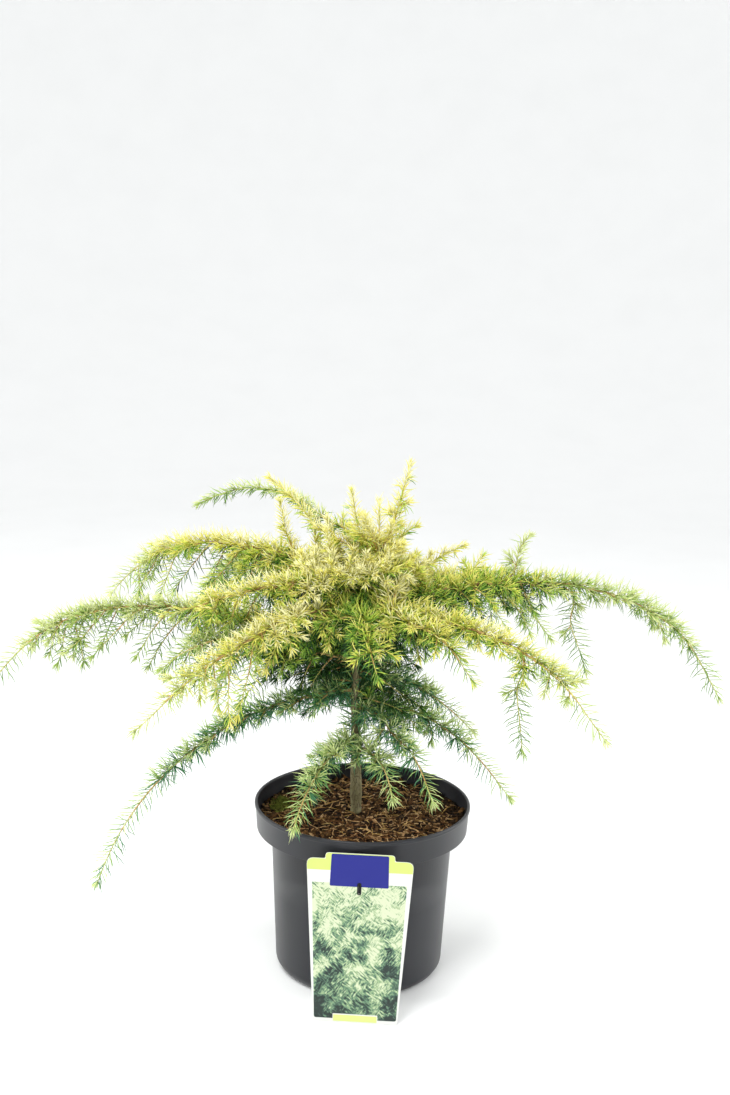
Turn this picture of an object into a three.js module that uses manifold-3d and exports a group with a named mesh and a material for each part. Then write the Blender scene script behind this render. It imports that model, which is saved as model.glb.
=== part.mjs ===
// A young golden cedar in a round nursery pot: a spreading conifer with long arms that arch out and weep.
// Millimetres, +Z up. The origin is the centre of the pot's foot, and +X is to the right of the front.
import * as THREE from 'three';
import { mergeVertices } from 'three/addons/utils/BufferGeometryUtils.js';
import Module from 'manifold-3d';

const wasm = await Module();
wasm.setup();

// ---- driving dimensions ----

const GAP = 0.35; // clearance left between neighbouring solids

const POT = {
  height: 180,
  rimRadius: 112,
  rimLip: 3,
  skirtBottom: 152,
  skirtRadius: 109.5,
  shoulderRadius: 94.5,
  heelHeight: 20,
  heelRadius: 87.5,
  footRadius: 81,
  wall: 2.2,
  floor: 3,
  segments: 32,
};

const DRAIN_NOTCH = { count: 8, width: 10, depth: 9, height: 3.5 };

const SOIL = { edgeHeight: 165, topHeight: 168, flatRadius: 24 };

const LABEL = {
  bottomWidth: 83,
  shoulderWidth: 105,
  shoulderHeight: 164,
  tabWidth: 68,
  tabHeight: 6,
  thickness: 0.9,
  corner: 7,
  footDistance: 131.5,
  lean: 6.2,
  turn: -2.7,
};

// The trunk's axis, from the soil to the top of the leader, with the radius at each height.
const TRUNK = {
  axis: [
    { x: -6.5, y: 0, z: 168.35 },
    { x: -8, y: 0, z: 225 },
    { x: -10.5, y: 0, z: 315 },
    { x: -9, y: 3, z: 375 },
    { x: 2, y: 7, z: 415 },
    { x: 14, y: 10, z: 448 },
  ],
  flareRadius: 8.4,
  flareHeight: 14,
  footRadius: 6.2,
  topRadius: 1.9,
  sides: 12,
  rings: 11,
};

const BOUGH_SIDES = 6;
const BOUGH_RINGS = 4;
const MASS_SIDES = 8;
const MASS_RINGS = 6;

// Each arm leaves the trunk at height root, climbs at rise degrees, and comes down at fall degrees to
// its tip, reach out from the trunk. azimuth is its bearing, counted from +X towards +Y, and sweep turns
// it as it runs out. hold and ease are how far it keeps the first and the last direction. bare is the
// length of bough before the foliage, full and slim are the foliage's radius at its start and its tip,
// and parts is how many masses the foliage is split into, at its bends.
const ARMS = [
  { name: 'left_far', azimuth: 181, sweep: 5, root: 344, rise: 15, hold: 0.48, reach: 372, tip: 298,
    fall: 60, ease: 0.38, girth: 3.0, bare: 120, full: 24, slim: 12, parts: 2 },
  { name: 'left_high', azimuth: 162, sweep: -5, root: 412, rise: 15, hold: 0.48, reach: 310, tip: 362,
    fall: 51, ease: 0.39, girth: 2.8, bare: 62, full: 23, slim: 17, parts: 2 },
  { name: 'left_middle', azimuth: 202, sweep: -6, root: 391, rise: 43, hold: 0.4, reach: 200, tip: 386,
    fall: 15, ease: 0.25, girth: 2.5, bare: 58, full: 21, slim: 12, parts: 1 },
  { name: 'left_front', azimuth: 222, sweep: -8, root: 362, rise: 66, hold: 0.28, reach: 244, tip: 288,
    fall: 71, ease: 0.3, girth: 2.8, bare: 62, full: 24, slim: 12, parts: 2 },
  { name: 'left_under', azimuth: 196, sweep: 4, root: 331, rise: 12, hold: 0.4, reach: 200, tip: 336,
    fall: 48, ease: 0.35, girth: 2.2, bare: 56, full: 20, slim: 12, parts: 1 },
  { name: 'left_low', azimuth: 192, sweep: 6, root: 299, rise: 2, hold: 0.4, reach: 264, tip: 116,
    fall: 72, ease: 0.3, girth: 2.8, bare: 30, full: 25, slim: 12, parts: 2 },
  { name: 'front_left_low', azimuth: 238, sweep: 8, root: 249, rise: 6, hold: 0.33, reach: 136, tip: 196,
    fall: 30, ease: 0.3, girth: 1.9, bare: 26, full: 19, slim: 11, parts: 1 },
  { name: 'front_right_low', azimuth: 300, sweep: -6, root: 238, rise: 20, hold: 0.4, reach: 96, tip: 216,
    fall: 45, ease: 0.35, girth: 1.7, bare: 24, full: 15, slim: 10, parts: 1 },
  { name: 'right_front_low', azimuth: 326, sweep: -8, root: 281, rise: 2, hold: 0.43, reach: 108, tip: 208,
    fall: 55, ease: 0.38, girth: 1.9, bare: 26, full: 19, slim: 11, parts: 1 },
  { name: 'right_back_low', azimuth: 36, sweep: -6, root: 320, rise: -6, hold: 0.34, reach: 146, tip: 234,
    fall: 50, ease: 0.36, girth: 2.0, bare: 40, full: 18, slim: 11, parts: 1 },
  { name: 'right_low', azimuth: 4, sweep: -6, root: 284, rise: 6, hold: 0.4, reach: 162, tip: 190,
    fall: 54, ease: 0.4, girth: 2.1, bare: 34, full: 18, slim: 11, parts: 1 },
  { name: 'right_far', azimuth: 3, sweep: 6, root: 379, rise: 29, hold: 0.28, reach: 384, tip: 274,
    fall: 78, ease: 0.46, girth: 3.2, bare: 66, full: 27, slim: 12, parts: 2 },
  { name: 'right_middle', azimuth: 332, sweep: -4, root: 355, rise: 50, hold: 0.27, reach: 275, tip: 296,
    fall: 68, ease: 0.37, girth: 2.8, bare: 62, full: 23, slim: 12, parts: 2 },
  { name: 'front_right', azimuth: 314, sweep: 4, root: 366, rise: 44, hold: 0.4, reach: 152, tip: 342,
    fall: 60, ease: 0.37, girth: 2.1, bare: 56, full: 19, slim: 11, parts: 1 },
  { name: 'front_middle', azimuth: 276, sweep: 6, root: 372, rise: 40, hold: 0.4, reach: 112, tip: 338,
    fall: 60, ease: 0.4, girth: 2.0, bare: 50, full: 20, slim: 12, parts: 1 },
  { name: 'back_right', azimuth: 42, sweep: -6, root: 372, rise: 30, hold: 0.4, reach: 262, tip: 318,
    fall: 62, ease: 0.4, girth: 2.7, bare: 66, full: 26, slim: 13, parts: 1 },
  { name: 'back_middle', azimuth: 86, sweep: -8, root: 392, rise: 30, hold: 0.4, reach: 250, tip: 344,
    fall: 56, ease: 0.4, girth: 2.6, bare: 64, full: 27, slim: 14, parts: 1 },
  { name: 'back_left', azimuth: 130, sweep: 6, root: 378, rise: 30, hold: 0.4, reach: 282, tip: 322,
    fall: 60, ease: 0.4, girth: 2.8, bare: 66, full: 27, slim: 13, parts: 2 },
  { name: 'back_low', azimuth: 104, sweep: 8, root: 292, rise: 8, hold: 0.4, reach: 132, tip: 232,
    fall: 55, ease: 0.4, girth: 2.0, bare: 34, full: 19, slim: 12, parts: 1 },
];

// Shoots that stand up from the crown. A shoot goes from its foot to its tip, out from it at azimuth and at
// height top, and is drawn towards a bend, at the share lean of the way out and lift above the foot.
const UPRIGHTS = [
  { name: 'leader', x: 17, y: 11, z: 450, azimuth: 20, out: 24, top: 537, lean: 0.5, lift: 44,
    full: 15, slim: 8 },
  { name: 'second_leader', x: -10, y: -6, z: 452, azimuth: 215, out: 12, top: 514, lean: 0.4, lift: 37,
    full: 13, slim: 8 },
  { name: 'left_arch', x: -46, y: 22, z: 450, azimuth: 160, out: 68, top: 513, lean: 0.35, lift: 41,
    full: 15, slim: 10 },
  { name: 'left_back_arch', x: -34, y: 56, z: 454, azimuth: 160, out: 168, top: 464, lean: 0.45, lift: 74,
    full: 15, slim: 9 },
  { name: 'right_back_tuft', x: 52, y: 42, z: 424, azimuth: 22, out: 56, top: 440, lean: 0.4, lift: 16,
    full: 14, slim: 9 },
  { name: 'right_far_tuft', x: 136, y: 16, z: 440, azimuth: 20, out: 36, top: 461, lean: 0.4, lift: 16,
    full: 11, slim: 9 },
];

// Shoots that hang from an arm: at is the share of the arm where they start, start is how far below the
// arm's line their foliage begins, and they end out away from it and drop below it.
const HANGERS = [
  { name: 'right_middle_hanger', arm: 'right_middle', at: 0.56, start: 26, out: 22, drop: 112,
    full: 12, slim: 11 },
  { name: 'right_far_hanger', arm: 'right_far', at: 0.42, start: 34, out: 50, drop: 100,
    full: 13, slim: 11 },
  { name: 'left_far_hanger', arm: 'left_far', at: 0.67, start: 24, out: 12, drop: 62,
    full: 12, slim: 10 },
];

// The dense middle of the crown, round the trunk: two uneven lumps, one above the other.
const HEARTS = [
  { name: 'upper_middle', x: -2, y: 4, z: 430, width: 128, depth: 110, height: 46, seed: 2 },
  { name: 'lower_middle', x: -8, y: 2, z: 376, width: 84, depth: 78, height: 60, seed: 5 },
];

const HEART_SIDES = 11;
const HEART_RINGS = 6;

// ---- colours and finishes ----

const FINISH = {
  pot: new THREE.MeshStandardMaterial({ color: 0x35373a, roughness: 0.55, metalness: 0 }),
  soil: new THREE.MeshStandardMaterial({ color: 0x5a3a22, roughness: 1, metalness: 0 }),
  label: new THREE.MeshStandardMaterial({ color: 0xe9ece0, roughness: 0.4, metalness: 0 }),
  bark: new THREE.MeshStandardMaterial({ color: 0x7a6a55, roughness: 0.95, metalness: 0 }),
  foliage: new THREE.MeshStandardMaterial({ color: 0x9fb048, roughness: 0.8, metalness: 0 }),
};

// ---- solids ----

const radians = THREE.MathUtils.degToRad;
const { lerp, smoothstep } = THREE.MathUtils;

// The geometry with its shared points joined and its empty triangles dropped, as closed solids need.
function welded(geometry) {
  const bare = geometry.clone();
  for (const name of Object.keys(bare.attributes)) {
    if (name !== 'position') {
      bare.deleteAttribute(name);
    }
  }
  const joined = mergeVertices(bare, 1e-4);
  const corners = joined.index.array;
  const kept = [];
  for (let i = 0; i < corners.length; i += 3) {
    const [a, b, c] = corners.slice(i, i + 3);
    if (a !== b && b !== c && c !== a) {
      kept.push(a, b, c);
    }
  }
  joined.setIndex(kept);
  return joined;
}

function solidOf(geometry) {
  return new wasm.Manifold(new wasm.Mesh({
    numProp: 3,
    vertProperties: new Float32Array(geometry.attributes.position.array),
    triVerts: new Uint32Array(geometry.index.array),
  }));
}

function geometryOf(solid) {
  const mesh = solid.getMesh();
  const geometry = new THREE.BufferGeometry();
  geometry.setAttribute('position', new THREE.BufferAttribute(mesh.vertProperties, 3));
  geometry.setIndex(new THREE.BufferAttribute(mesh.triVerts, 1));
  return geometry;
}

// The solid less every tool that reaches into it. Crumbs that the cuts leave are dropped.
function cut(solid, tools) {
  let left = solid;
  for (const tool of tools) {
    if (!left.intersect(tool).isEmpty()) {
      left = left.subtract(tool);
    }
  }
  if (left === solid) {
    return solid;
  }
  const lumps = left.decompose();
  lumps.sort((a, b) => b.volume() - a.volume());
  return lumps[0];
}

// A slow ripple, different for each seed, that repeats once round the limb.
function ripple(angle, along, seed) {
  const slow = Math.sin(2 * angle + 7 * along + seed);
  const quick = Math.sin(3 * angle - 13 * along + 2.3 * seed);
  const length = Math.sin(17 * along + 4.1 * seed);
  return 0.09 * slow + 0.07 * quick + 0.07 * length;
}

// A lathed body laid along a curve, from one share of its length to another. side is the level direction
// square to the curve's plane, and offset(angle, share) gives the radius there.
function laid(curve, side, from, to, profile, sides, offset) {
  const geometry = welded(new THREE.LatheGeometry(profile, sides));
  const places = geometry.attributes.position;
  for (let i = 0; i < places.count; i++) {
    const share = lerp(from, to, places.getY(i));
    const angle = Math.atan2(places.getX(i), places.getZ(i));
    const reach = Math.hypot(places.getX(i), places.getZ(i));
    const clamped = THREE.MathUtils.clamp(share, 0, 1);
    const centre = curve.getPointAt(clamped);
    const tangent = curve.getTangentAt(clamped);
    const over = (share - clamped) * curve.getLength();
    const up = new THREE.Vector3().crossVectors(side, tangent).normalize();
    const across = new THREE.Vector3().crossVectors(tangent, up);
    const radius = reach * offset(angle, share);
    centre.addScaledVector(tangent, over);
    centre.addScaledVector(across, radius * Math.sin(angle));
    centre.addScaledVector(up, radius * Math.cos(angle));
    places.setXYZ(i, centre.x, centre.y, centre.z);
  }
  return outward(geometry);
}

// The geometry with its faces turned outwards.
function outward(geometry) {
  const places = geometry.attributes.position;
  const corners = geometry.index.array;
  const [a, b, c] = [new THREE.Vector3(), new THREE.Vector3(), new THREE.Vector3()];
  let volume = 0;
  for (let i = 0; i < corners.length; i += 3) {
    a.fromBufferAttribute(places, corners[i]);
    b.fromBufferAttribute(places, corners[i + 1]);
    c.fromBufferAttribute(places, corners[i + 2]);
    volume += a.dot(b.cross(c));
  }
  if (volume < 0) {
    for (let i = 0; i < corners.length; i += 3) {
      [corners[i + 1], corners[i + 2]] = [corners[i + 2], corners[i + 1]];
    }
  }
  return geometry;
}

// A lathe profile with flat ends: unit radius from height 0 to 1.
function bluntProfile(rings) {
  const points = [new THREE.Vector2(0, 0)];
  for (let i = 0; i <= rings; i++) {
    points.push(new THREE.Vector2(1, i / rings));
  }
  points.push(new THREE.Vector2(0, 1));
  return points;
}

// The same with a point at the far end.
function pointedProfile(rings) {
  const points = [new THREE.Vector2(0, 0)];
  for (let i = 0; i < rings; i++) {
    points.push(new THREE.Vector2(1, i / rings));
  }
  points.push(new THREE.Vector2(0.62, 1 - 0.3 / rings));
  points.push(new THREE.Vector2(0, 1));
  return points;
}

// ---- pot, soil and label ----

// The inside of the pot as points of radius and height, from its floor's centre to the rim.
function potInside(clearance) {
  const { wall, floor, footRadius, heelRadius, heelHeight, shoulderRadius, skirtBottom } = POT;
  return [
    [0, floor + clearance],
    [footRadius - wall - clearance, floor + clearance],
    [heelRadius - wall - clearance, heelHeight + clearance],
    [shoulderRadius - wall - clearance, skirtBottom + wall + clearance],
    [POT.skirtRadius - wall - clearance, skirtBottom + wall + clearance + 1.5],
  ];
}

function toProfile(pairs) {
  return pairs.map(([radius, height]) => new THREE.Vector2(radius, height));
}

// A lathed profile is turned so that its axis stands up.
function standing(profile, segments) {
  const geometry = new THREE.LatheGeometry(toProfile(profile), segments);
  geometry.rotateX(Math.PI / 2);
  return solidOf(outward(welded(geometry)));
}

function potSolid() {
  const { height, rimRadius, rimLip, skirtBottom, skirtRadius, shoulderRadius } = POT;
  const { heelHeight, heelRadius, footRadius, wall } = POT;
  const outside = [
    [rimRadius - rimLip, height],
    [rimRadius, height - 0.8],
    [rimRadius, height - rimLip],
    [rimRadius - 0.9, height - rimLip - 0.6],
    [skirtRadius, skirtBottom],
    [shoulderRadius, skirtBottom],
    [heelRadius, heelHeight],
    [lerp(footRadius, heelRadius, 0.7), heelHeight * 0.35],
    [footRadius, 0],
    [0, 0],
  ];
  const body = standing([...potInside(0), ...outside], POT.segments);
  const notches = [];
  for (let i = 0; i < DRAIN_NOTCH.count; i++) {
    const notch = new THREE.BoxGeometry(2 * DRAIN_NOTCH.depth, DRAIN_NOTCH.width, 2 * DRAIN_NOTCH.height);
    notch.translate(footRadius + wall, 0, 0);
    notch.rotateZ((2 * Math.PI * (i + 0.5)) / DRAIN_NOTCH.count);
    notches.push(solidOf(welded(notch)));
  }
  return cut(body, notches);
}

function soilSolid() {
  const inside = potInside(GAP);
  const top = [
    [POT.skirtRadius - POT.wall - GAP, SOIL.edgeHeight],
    [SOIL.flatRadius, SOIL.topHeight],
    [0, SOIL.topHeight],
  ];
  return standing([...inside, ...top], POT.segments);
}

// A plain plant label: a tapered card with rounded shoulders and a raised tab, leaning on the pot's rim.
function labelSolid() {
  const { bottomWidth, shoulderWidth, shoulderHeight, tabWidth, tabHeight, corner, thickness } = LABEL;
  const [foot, shoulder, tab] = [bottomWidth / 2, shoulderWidth / 2, tabWidth / 2];
  const card = new THREE.Shape();
  card.moveTo(-foot, 0);
  card.lineTo(foot, 0);
  card.lineTo(shoulder, shoulderHeight - corner);
  card.quadraticCurveTo(shoulder, shoulderHeight, shoulder - corner, shoulderHeight);
  card.lineTo(tab, shoulderHeight);
  card.lineTo(tab, shoulderHeight + tabHeight - corner / 2);
  card.quadraticCurveTo(tab, shoulderHeight + tabHeight, tab - corner / 2, shoulderHeight + tabHeight);
  card.lineTo(corner / 2 - tab, shoulderHeight + tabHeight);
  card.quadraticCurveTo(-tab, shoulderHeight + tabHeight, -tab, shoulderHeight + tabHeight - corner / 2);
  card.lineTo(-tab, shoulderHeight);
  card.lineTo(corner - shoulder, shoulderHeight);
  card.quadraticCurveTo(-shoulder, shoulderHeight, -shoulder, shoulderHeight - corner);
  card.closePath();
  const cardStock = { depth: thickness, bevelEnabled: false, curveSegments: 4 };
  const geometry = new THREE.ExtrudeGeometry(card, cardStock);
  geometry.rotateX(Math.PI / 2 - radians(LABEL.lean));
  geometry.rotateZ(radians(LABEL.turn));
  geometry.translate(0, -LABEL.footDistance, 0);
  geometry.computeBoundingBox();
  geometry.translate(0, 0, -geometry.boundingBox.min.z);
  return solidOf(outward(welded(geometry)));
}

// ---- trunk ----

const trunkCurve = new THREE.CatmullRomCurve3(TRUNK.axis.map((p) => new THREE.Vector3(p.x, p.y, p.z)));

function trunkAt(height) {
  let share = 0;
  while (share < 1 && trunkCurve.getPointAt(share).z < height) {
    share = Math.min(1, share + 0.005);
  }
  return trunkCurve.getPointAt(share);
}

function trunkRadius(share) {
  const height = share * trunkCurve.getLength();
  const flare = (TRUNK.flareRadius - TRUNK.footRadius) * (1 - smoothstep(height, 0, TRUNK.flareHeight));
  return flare + lerp(TRUNK.footRadius, TRUNK.topRadius, share);
}

function trunkSolid(clearance) {
  const side = new THREE.Vector3(0, 1, 0);
  const radius = (angle, share) => trunkRadius(THREE.MathUtils.clamp(share, 0, 1)) + clearance;
  const over = clearance / trunkCurve.getLength();
  const geometry = laid(trunkCurve, side, -over, 1 + over, bluntProfile(TRUNK.rings), TRUNK.sides, radius);
  return solidOf(levelled(geometry, TRUNK.axis[0].z - clearance));
}

// The trunk's foot is a level cut that stands on the soil.
function levelled(geometry, footHeight) {
  const places = geometry.attributes.position;
  for (let i = 0; i < places.count; i++) {
    if (Math.abs(places.getZ(i) - footHeight) < 1) {
      places.setZ(i, footHeight);
    }
  }
  return geometry;
}

// ---- arms: a bough and its foliage ----

function armCurve(arm) {
  const start = new THREE.Vector2(0, arm.root);
  const end = new THREE.Vector2(arm.reach, arm.tip);
  const span = start.distanceTo(end);
  const [rise, fall] = [radians(arm.rise), radians(arm.fall)];
  const out = new THREE.Vector2(Math.cos(rise), Math.sin(rise)).multiplyScalar(arm.hold * span);
  const back = new THREE.Vector2(-Math.cos(fall), Math.sin(fall)).multiplyScalar(arm.ease * span);
  const line = new THREE.CubicBezierCurve(start, start.clone().add(out), end.clone().add(back), end);
  const foot = trunkAt(arm.root);
  const points = [];
  const steps = 24;
  for (let i = 0; i <= steps; i++) {
    const share = i / steps;
    const place = line.getPoint(share);
    const bearing = radians(arm.azimuth + arm.sweep * share * share);
    const [dx, dy] = [Math.cos(bearing) * place.x, Math.sin(bearing) * place.x];
    points.push(new THREE.Vector3(foot.x + dx, foot.y + dy, place.y));
  }
  return new THREE.CatmullRomCurve3(points);
}

function sideOf(azimuth) {
  return new THREE.Vector3(Math.sin(radians(azimuth)), -Math.cos(radians(azimuth)), 0);
}

function boughSolid(arm, clearance) {
  const length = arm.curve.getLength();
  const radius = (angle, share) => lerp(arm.girth, arm.girth * 0.45, share) + clearance;
  const end = (arm.bare + clearance) / length;
  const profile = bluntProfile(BOUGH_RINGS);
  return solidOf(laid(arm.curve, sideOf(arm.azimuth), 0, end, profile, BOUGH_SIDES, radius));
}

// A sleeve of foliage along a curve, wider than it is tall and fuller below, where the twigs hang.
function sleeve(limb, from, to, clearance, pointed) {
  const length = limb.curve.getLength();
  const over = clearance / length;
  const first = limb.first;
  const offset = (angle, share) => {
    const along = THREE.MathUtils.clamp((share - first) / (1 - first), 0, 1);
    const hang = 1 - 0.14 * Math.cos(angle) + 0.1 * Math.abs(Math.sin(angle));
    const swell = 0.82 + 0.3 * Math.sin(Math.PI * Math.min(1, 0.12 + along));
    const uneven = 1 + ripple(angle, along, limb.seed);
    return lerp(limb.full, limb.slim, along) * swell * hang * uneven + clearance;
  };
  const profile = pointed ? pointedProfile(MASS_RINGS) : bluntProfile(MASS_RINGS);
  const side = sideOf(limb.azimuth);
  return solidOf(laid(limb.curve, side, from - over, to + over, profile, MASS_SIDES, offset));
}

// The stretches of an arm's foliage, one for each mass: [from, to, ends in a point].
function stretches(arm) {
  const length = arm.curve.getLength();
  const gap = GAP / length;
  const found = [];
  for (let i = 0; i < arm.parts; i++) {
    const from = lerp(arm.first, 1, i / arm.parts) + gap / 2;
    const to = lerp(arm.first, 1, (i + 1) / arm.parts) - gap / 2;
    found.push([from, to, i === arm.parts - 1]);
  }
  return found;
}

// What an arm's masses are called, by how many of them there are.
const PART_NAMES = { 1: ['spray'], 2: ['inner', 'tip'] };

// ---- uprights, hangers and hearts ----

function uprightCurve(shoot) {
  const bearing = radians(shoot.azimuth);
  const out = new THREE.Vector3(Math.cos(bearing), Math.sin(bearing), 0);
  const foot = new THREE.Vector3(shoot.x, shoot.y, shoot.z);
  const tip = foot.clone().addScaledVector(out, shoot.out).setZ(shoot.top);
  const bend = foot.clone().addScaledVector(out, shoot.out * shoot.lean);
  bend.z += shoot.lift;
  return new THREE.QuadraticBezierCurve3(foot, bend, tip);
}

function hangerCurve(shoot, arm) {
  const bearing = radians(arm.azimuth + arm.sweep * shoot.at * shoot.at);
  const out = new THREE.Vector3(Math.cos(bearing), Math.sin(bearing), 0);
  const hook = arm.curve.getPointAt(shoot.at);
  const tip = hook.clone().addScaledVector(out, shoot.out);
  tip.z -= shoot.drop;
  const bend = hook.clone().addScaledVector(out, shoot.out * 0.75);
  bend.z -= shoot.drop * 0.45;
  return new THREE.QuadraticBezierCurve3(hook, bend, tip);
}

function heartSolid(heart, clearance) {
  const geometry = welded(new THREE.SphereGeometry(1, HEART_SIDES, HEART_RINGS));
  geometry.rotateX(Math.PI / 2);
  const places = geometry.attributes.position;
  const point = new THREE.Vector3();
  for (let i = 0; i < places.count; i++) {
    point.fromBufferAttribute(places, i);
    const angle = Math.atan2(point.y, point.x);
    const lump = 1 + 1.2 * ripple(angle, point.z * 0.3, heart.seed);
    const x = heart.x + point.x * (lump * heart.width / 2 + clearance);
    const y = heart.y + point.y * (lump * heart.depth / 2 + clearance);
    const z = heart.z + point.z * ((2 - lump) * heart.height / 2 + clearance);
    places.setXYZ(i, x, y, z);
  }
  return solidOf(outward(geometry));
}

// ---- the plant, piece by piece ----

const plant = new THREE.Group();

function addPiece(name, solid, material) {
  const mesh = new THREE.Mesh(geometryOf(solid), material.clone());
  mesh.name = name;
  plant.add(mesh);
}

addPiece('pot', potSolid(), FINISH.pot);
addPiece('soil', soilSolid(), FINISH.soil);
addPiece('label', labelSolid(), FINISH.label);
addPiece('trunk', trunkSolid(0), FINISH.bark);

ARMS.forEach((arm, index) => {
  arm.curve = armCurve(arm);
  arm.first = (arm.bare + GAP) / arm.curve.getLength();
  arm.seed = index * 1.9;
});

// taken holds every finished solid of the plant, grown by the clearance, for its neighbours to be cut by.
const taken = [trunkSolid(GAP)];

for (const arm of ARMS) {
  addPiece(`bough_${arm.name}`, cut(boughSolid(arm, 0), taken), FINISH.bark);
  taken.push(boughSolid(arm, GAP));
}

for (const arm of ARMS) {
  stretches(arm).forEach(([from, to, pointed], index) => {
    const name = `foliage_${arm.name}_${PART_NAMES[arm.parts][index]}`;
    addPiece(name, cut(sleeve(arm, from, to, 0, pointed), taken), FINISH.foliage);
  });
  for (const [from, to, pointed] of stretches(arm)) {
    taken.push(sleeve(arm, from, to, GAP / 2, pointed));
  }
}

HANGERS.forEach((shoot, index) => {
  const arm = ARMS.find((a) => a.name === shoot.arm);
  const curve = hangerCurve(shoot, arm);
  const first = shoot.start / curve.getLength();
  const limb = { ...shoot, curve, azimuth: arm.azimuth, first, seed: index + 0.4 };
  addPiece(`foliage_${shoot.name}`, cut(sleeve(limb, limb.first, 1, 0, true), taken), FINISH.foliage);
  taken.push(sleeve(limb, limb.first, 1, GAP, true));
});

UPRIGHTS.forEach((shoot, index) => {
  const limb = { ...shoot, curve: uprightCurve(shoot), first: 0, seed: index * 1.3 };
  addPiece(`foliage_${shoot.name}`, cut(sleeve(limb, 0, 1, 0, true), taken), FINISH.foliage);
  taken.push(sleeve(limb, 0, 1, GAP, true));
});

for (const heart of HEARTS) {
  addPiece(`foliage_${heart.name}`, cut(heartSolid(heart, 0), taken), FINISH.foliage);
  taken.push(heartSolid(heart, 2 * GAP));
}

export default plant;
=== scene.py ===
"""A young golden cedar in a round nursery pot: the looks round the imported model, in its frame.

Wood, twigs and needles grow from the trunk, boughs and foliage solids by a seeded rule. Lengths are in
millimetres until a mesh is made, and in metres after that.
"""

import math

import bmesh
import bpy
import numpy as np
from mathutils import Matrix, Vector, noise


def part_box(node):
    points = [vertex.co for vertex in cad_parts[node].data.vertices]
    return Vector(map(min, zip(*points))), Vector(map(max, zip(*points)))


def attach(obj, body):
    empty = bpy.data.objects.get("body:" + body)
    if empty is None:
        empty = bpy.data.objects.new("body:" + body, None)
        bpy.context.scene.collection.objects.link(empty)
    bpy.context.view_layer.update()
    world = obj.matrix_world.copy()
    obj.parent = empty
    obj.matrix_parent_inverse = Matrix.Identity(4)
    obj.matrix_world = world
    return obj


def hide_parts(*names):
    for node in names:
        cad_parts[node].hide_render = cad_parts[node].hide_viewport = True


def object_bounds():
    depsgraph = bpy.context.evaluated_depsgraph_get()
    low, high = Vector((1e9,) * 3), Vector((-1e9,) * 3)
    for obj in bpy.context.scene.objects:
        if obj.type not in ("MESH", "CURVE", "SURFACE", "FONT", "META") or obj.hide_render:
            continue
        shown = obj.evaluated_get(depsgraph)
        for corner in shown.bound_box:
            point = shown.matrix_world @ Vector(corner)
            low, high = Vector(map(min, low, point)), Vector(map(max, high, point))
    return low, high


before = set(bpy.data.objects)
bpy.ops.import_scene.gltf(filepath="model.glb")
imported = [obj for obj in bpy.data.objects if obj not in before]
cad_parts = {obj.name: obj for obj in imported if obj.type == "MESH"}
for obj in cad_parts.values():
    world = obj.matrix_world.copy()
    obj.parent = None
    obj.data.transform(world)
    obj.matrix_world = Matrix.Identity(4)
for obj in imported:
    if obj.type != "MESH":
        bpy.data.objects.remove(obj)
cad_low, cad_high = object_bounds()

MM = 0.001
UP = np.array([0.0, 0.0, 1.0])
GOLDEN_TURN = math.pi * (3 - math.sqrt(5))  # from one needle to the next round a shoot
GOLDEN_SHARE = (math.sqrt(5) - 1) / 2  # its multiples spread evenly between 0 and 1
random = np.random.default_rng(11)

POT_HIGH = np.array(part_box("pot")[1]) / MM
SOIL_LOW, SOIL_HIGH = (np.array(corner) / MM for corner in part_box("soil"))
BOUGHS = sorted(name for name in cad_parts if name.startswith("bough_"))
FOLIAGE = sorted(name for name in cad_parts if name.startswith("foliage_"))


# ---- numbers and lines ----

def unit(vectors):
    """The vectors at length 1."""
    return vectors / np.maximum(np.linalg.norm(vectors, axis=-1, keepdims=True), 1e-9)


def blend(low, high, share):
    return low + (high - low) * share


def smooth(value, low, high):
    """0 below low, 1 above high, and an S curve between."""
    share = np.clip((value - low) / (high - low), 0, 1)
    return share * share * (3 - 2 * share)


def run_of(line):
    """How far along the line each of its points is."""
    steps = np.linalg.norm(np.diff(line, axis=0), axis=1)
    return np.concatenate([[0], np.cumsum(steps)])


def at(line, values, distances):
    """The values that belong to a line's points, read at distances along it."""
    run = run_of(line)
    values = np.asarray(values, float)
    if values.ndim == 1:
        return np.interp(distances, run, values)
    return np.stack([np.interp(distances, run, values[:, k]) for k in range(values.shape[1])], -1)


def respaced(line, step):
    """The same line with its points about a step apart."""
    length = run_of(line)[-1]
    count = max(3, int(round(length / step)) + 1)
    return at(line, line, np.linspace(0, length, count))


def eased(line, rounds):
    """The line with its corners rounded, and its ends kept."""
    line = line.copy()
    for _ in range(rounds):
        line[1:-1] = (line[:-2] + 2 * line[1:-1] + line[2:]) / 4
    return line


def headings(line):
    return unit(np.gradient(line, axis=0))


def crosswise(directions):
    """Two directions square to each direction, the second one as near to up as it can be."""
    hint = np.where(np.abs(directions[..., 2:3]) > 0.95, np.array([0.0, 1.0, 0.0]), UP)
    side = unit(np.cross(directions, hint))
    return side, np.cross(side, directions)


# ---- the lines that the solids hold ----

STEP = 3.0  # between the points of a line


def edges_of(names):
    """The edges of some nodes, as pairs of points in millimetres."""
    found = []
    for name in names:
        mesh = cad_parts[name].data
        places = np.empty(len(mesh.vertices) * 3, np.float32)
        pairs = np.empty(len(mesh.edges) * 2, np.int32)
        mesh.vertices.foreach_get("co", places)
        mesh.edges.foreach_get("vertices", pairs)
        found.append(places.reshape(-1, 3)[pairs.reshape(-1, 2)] / MM)
    return np.concatenate(found).astype(float)


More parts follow.
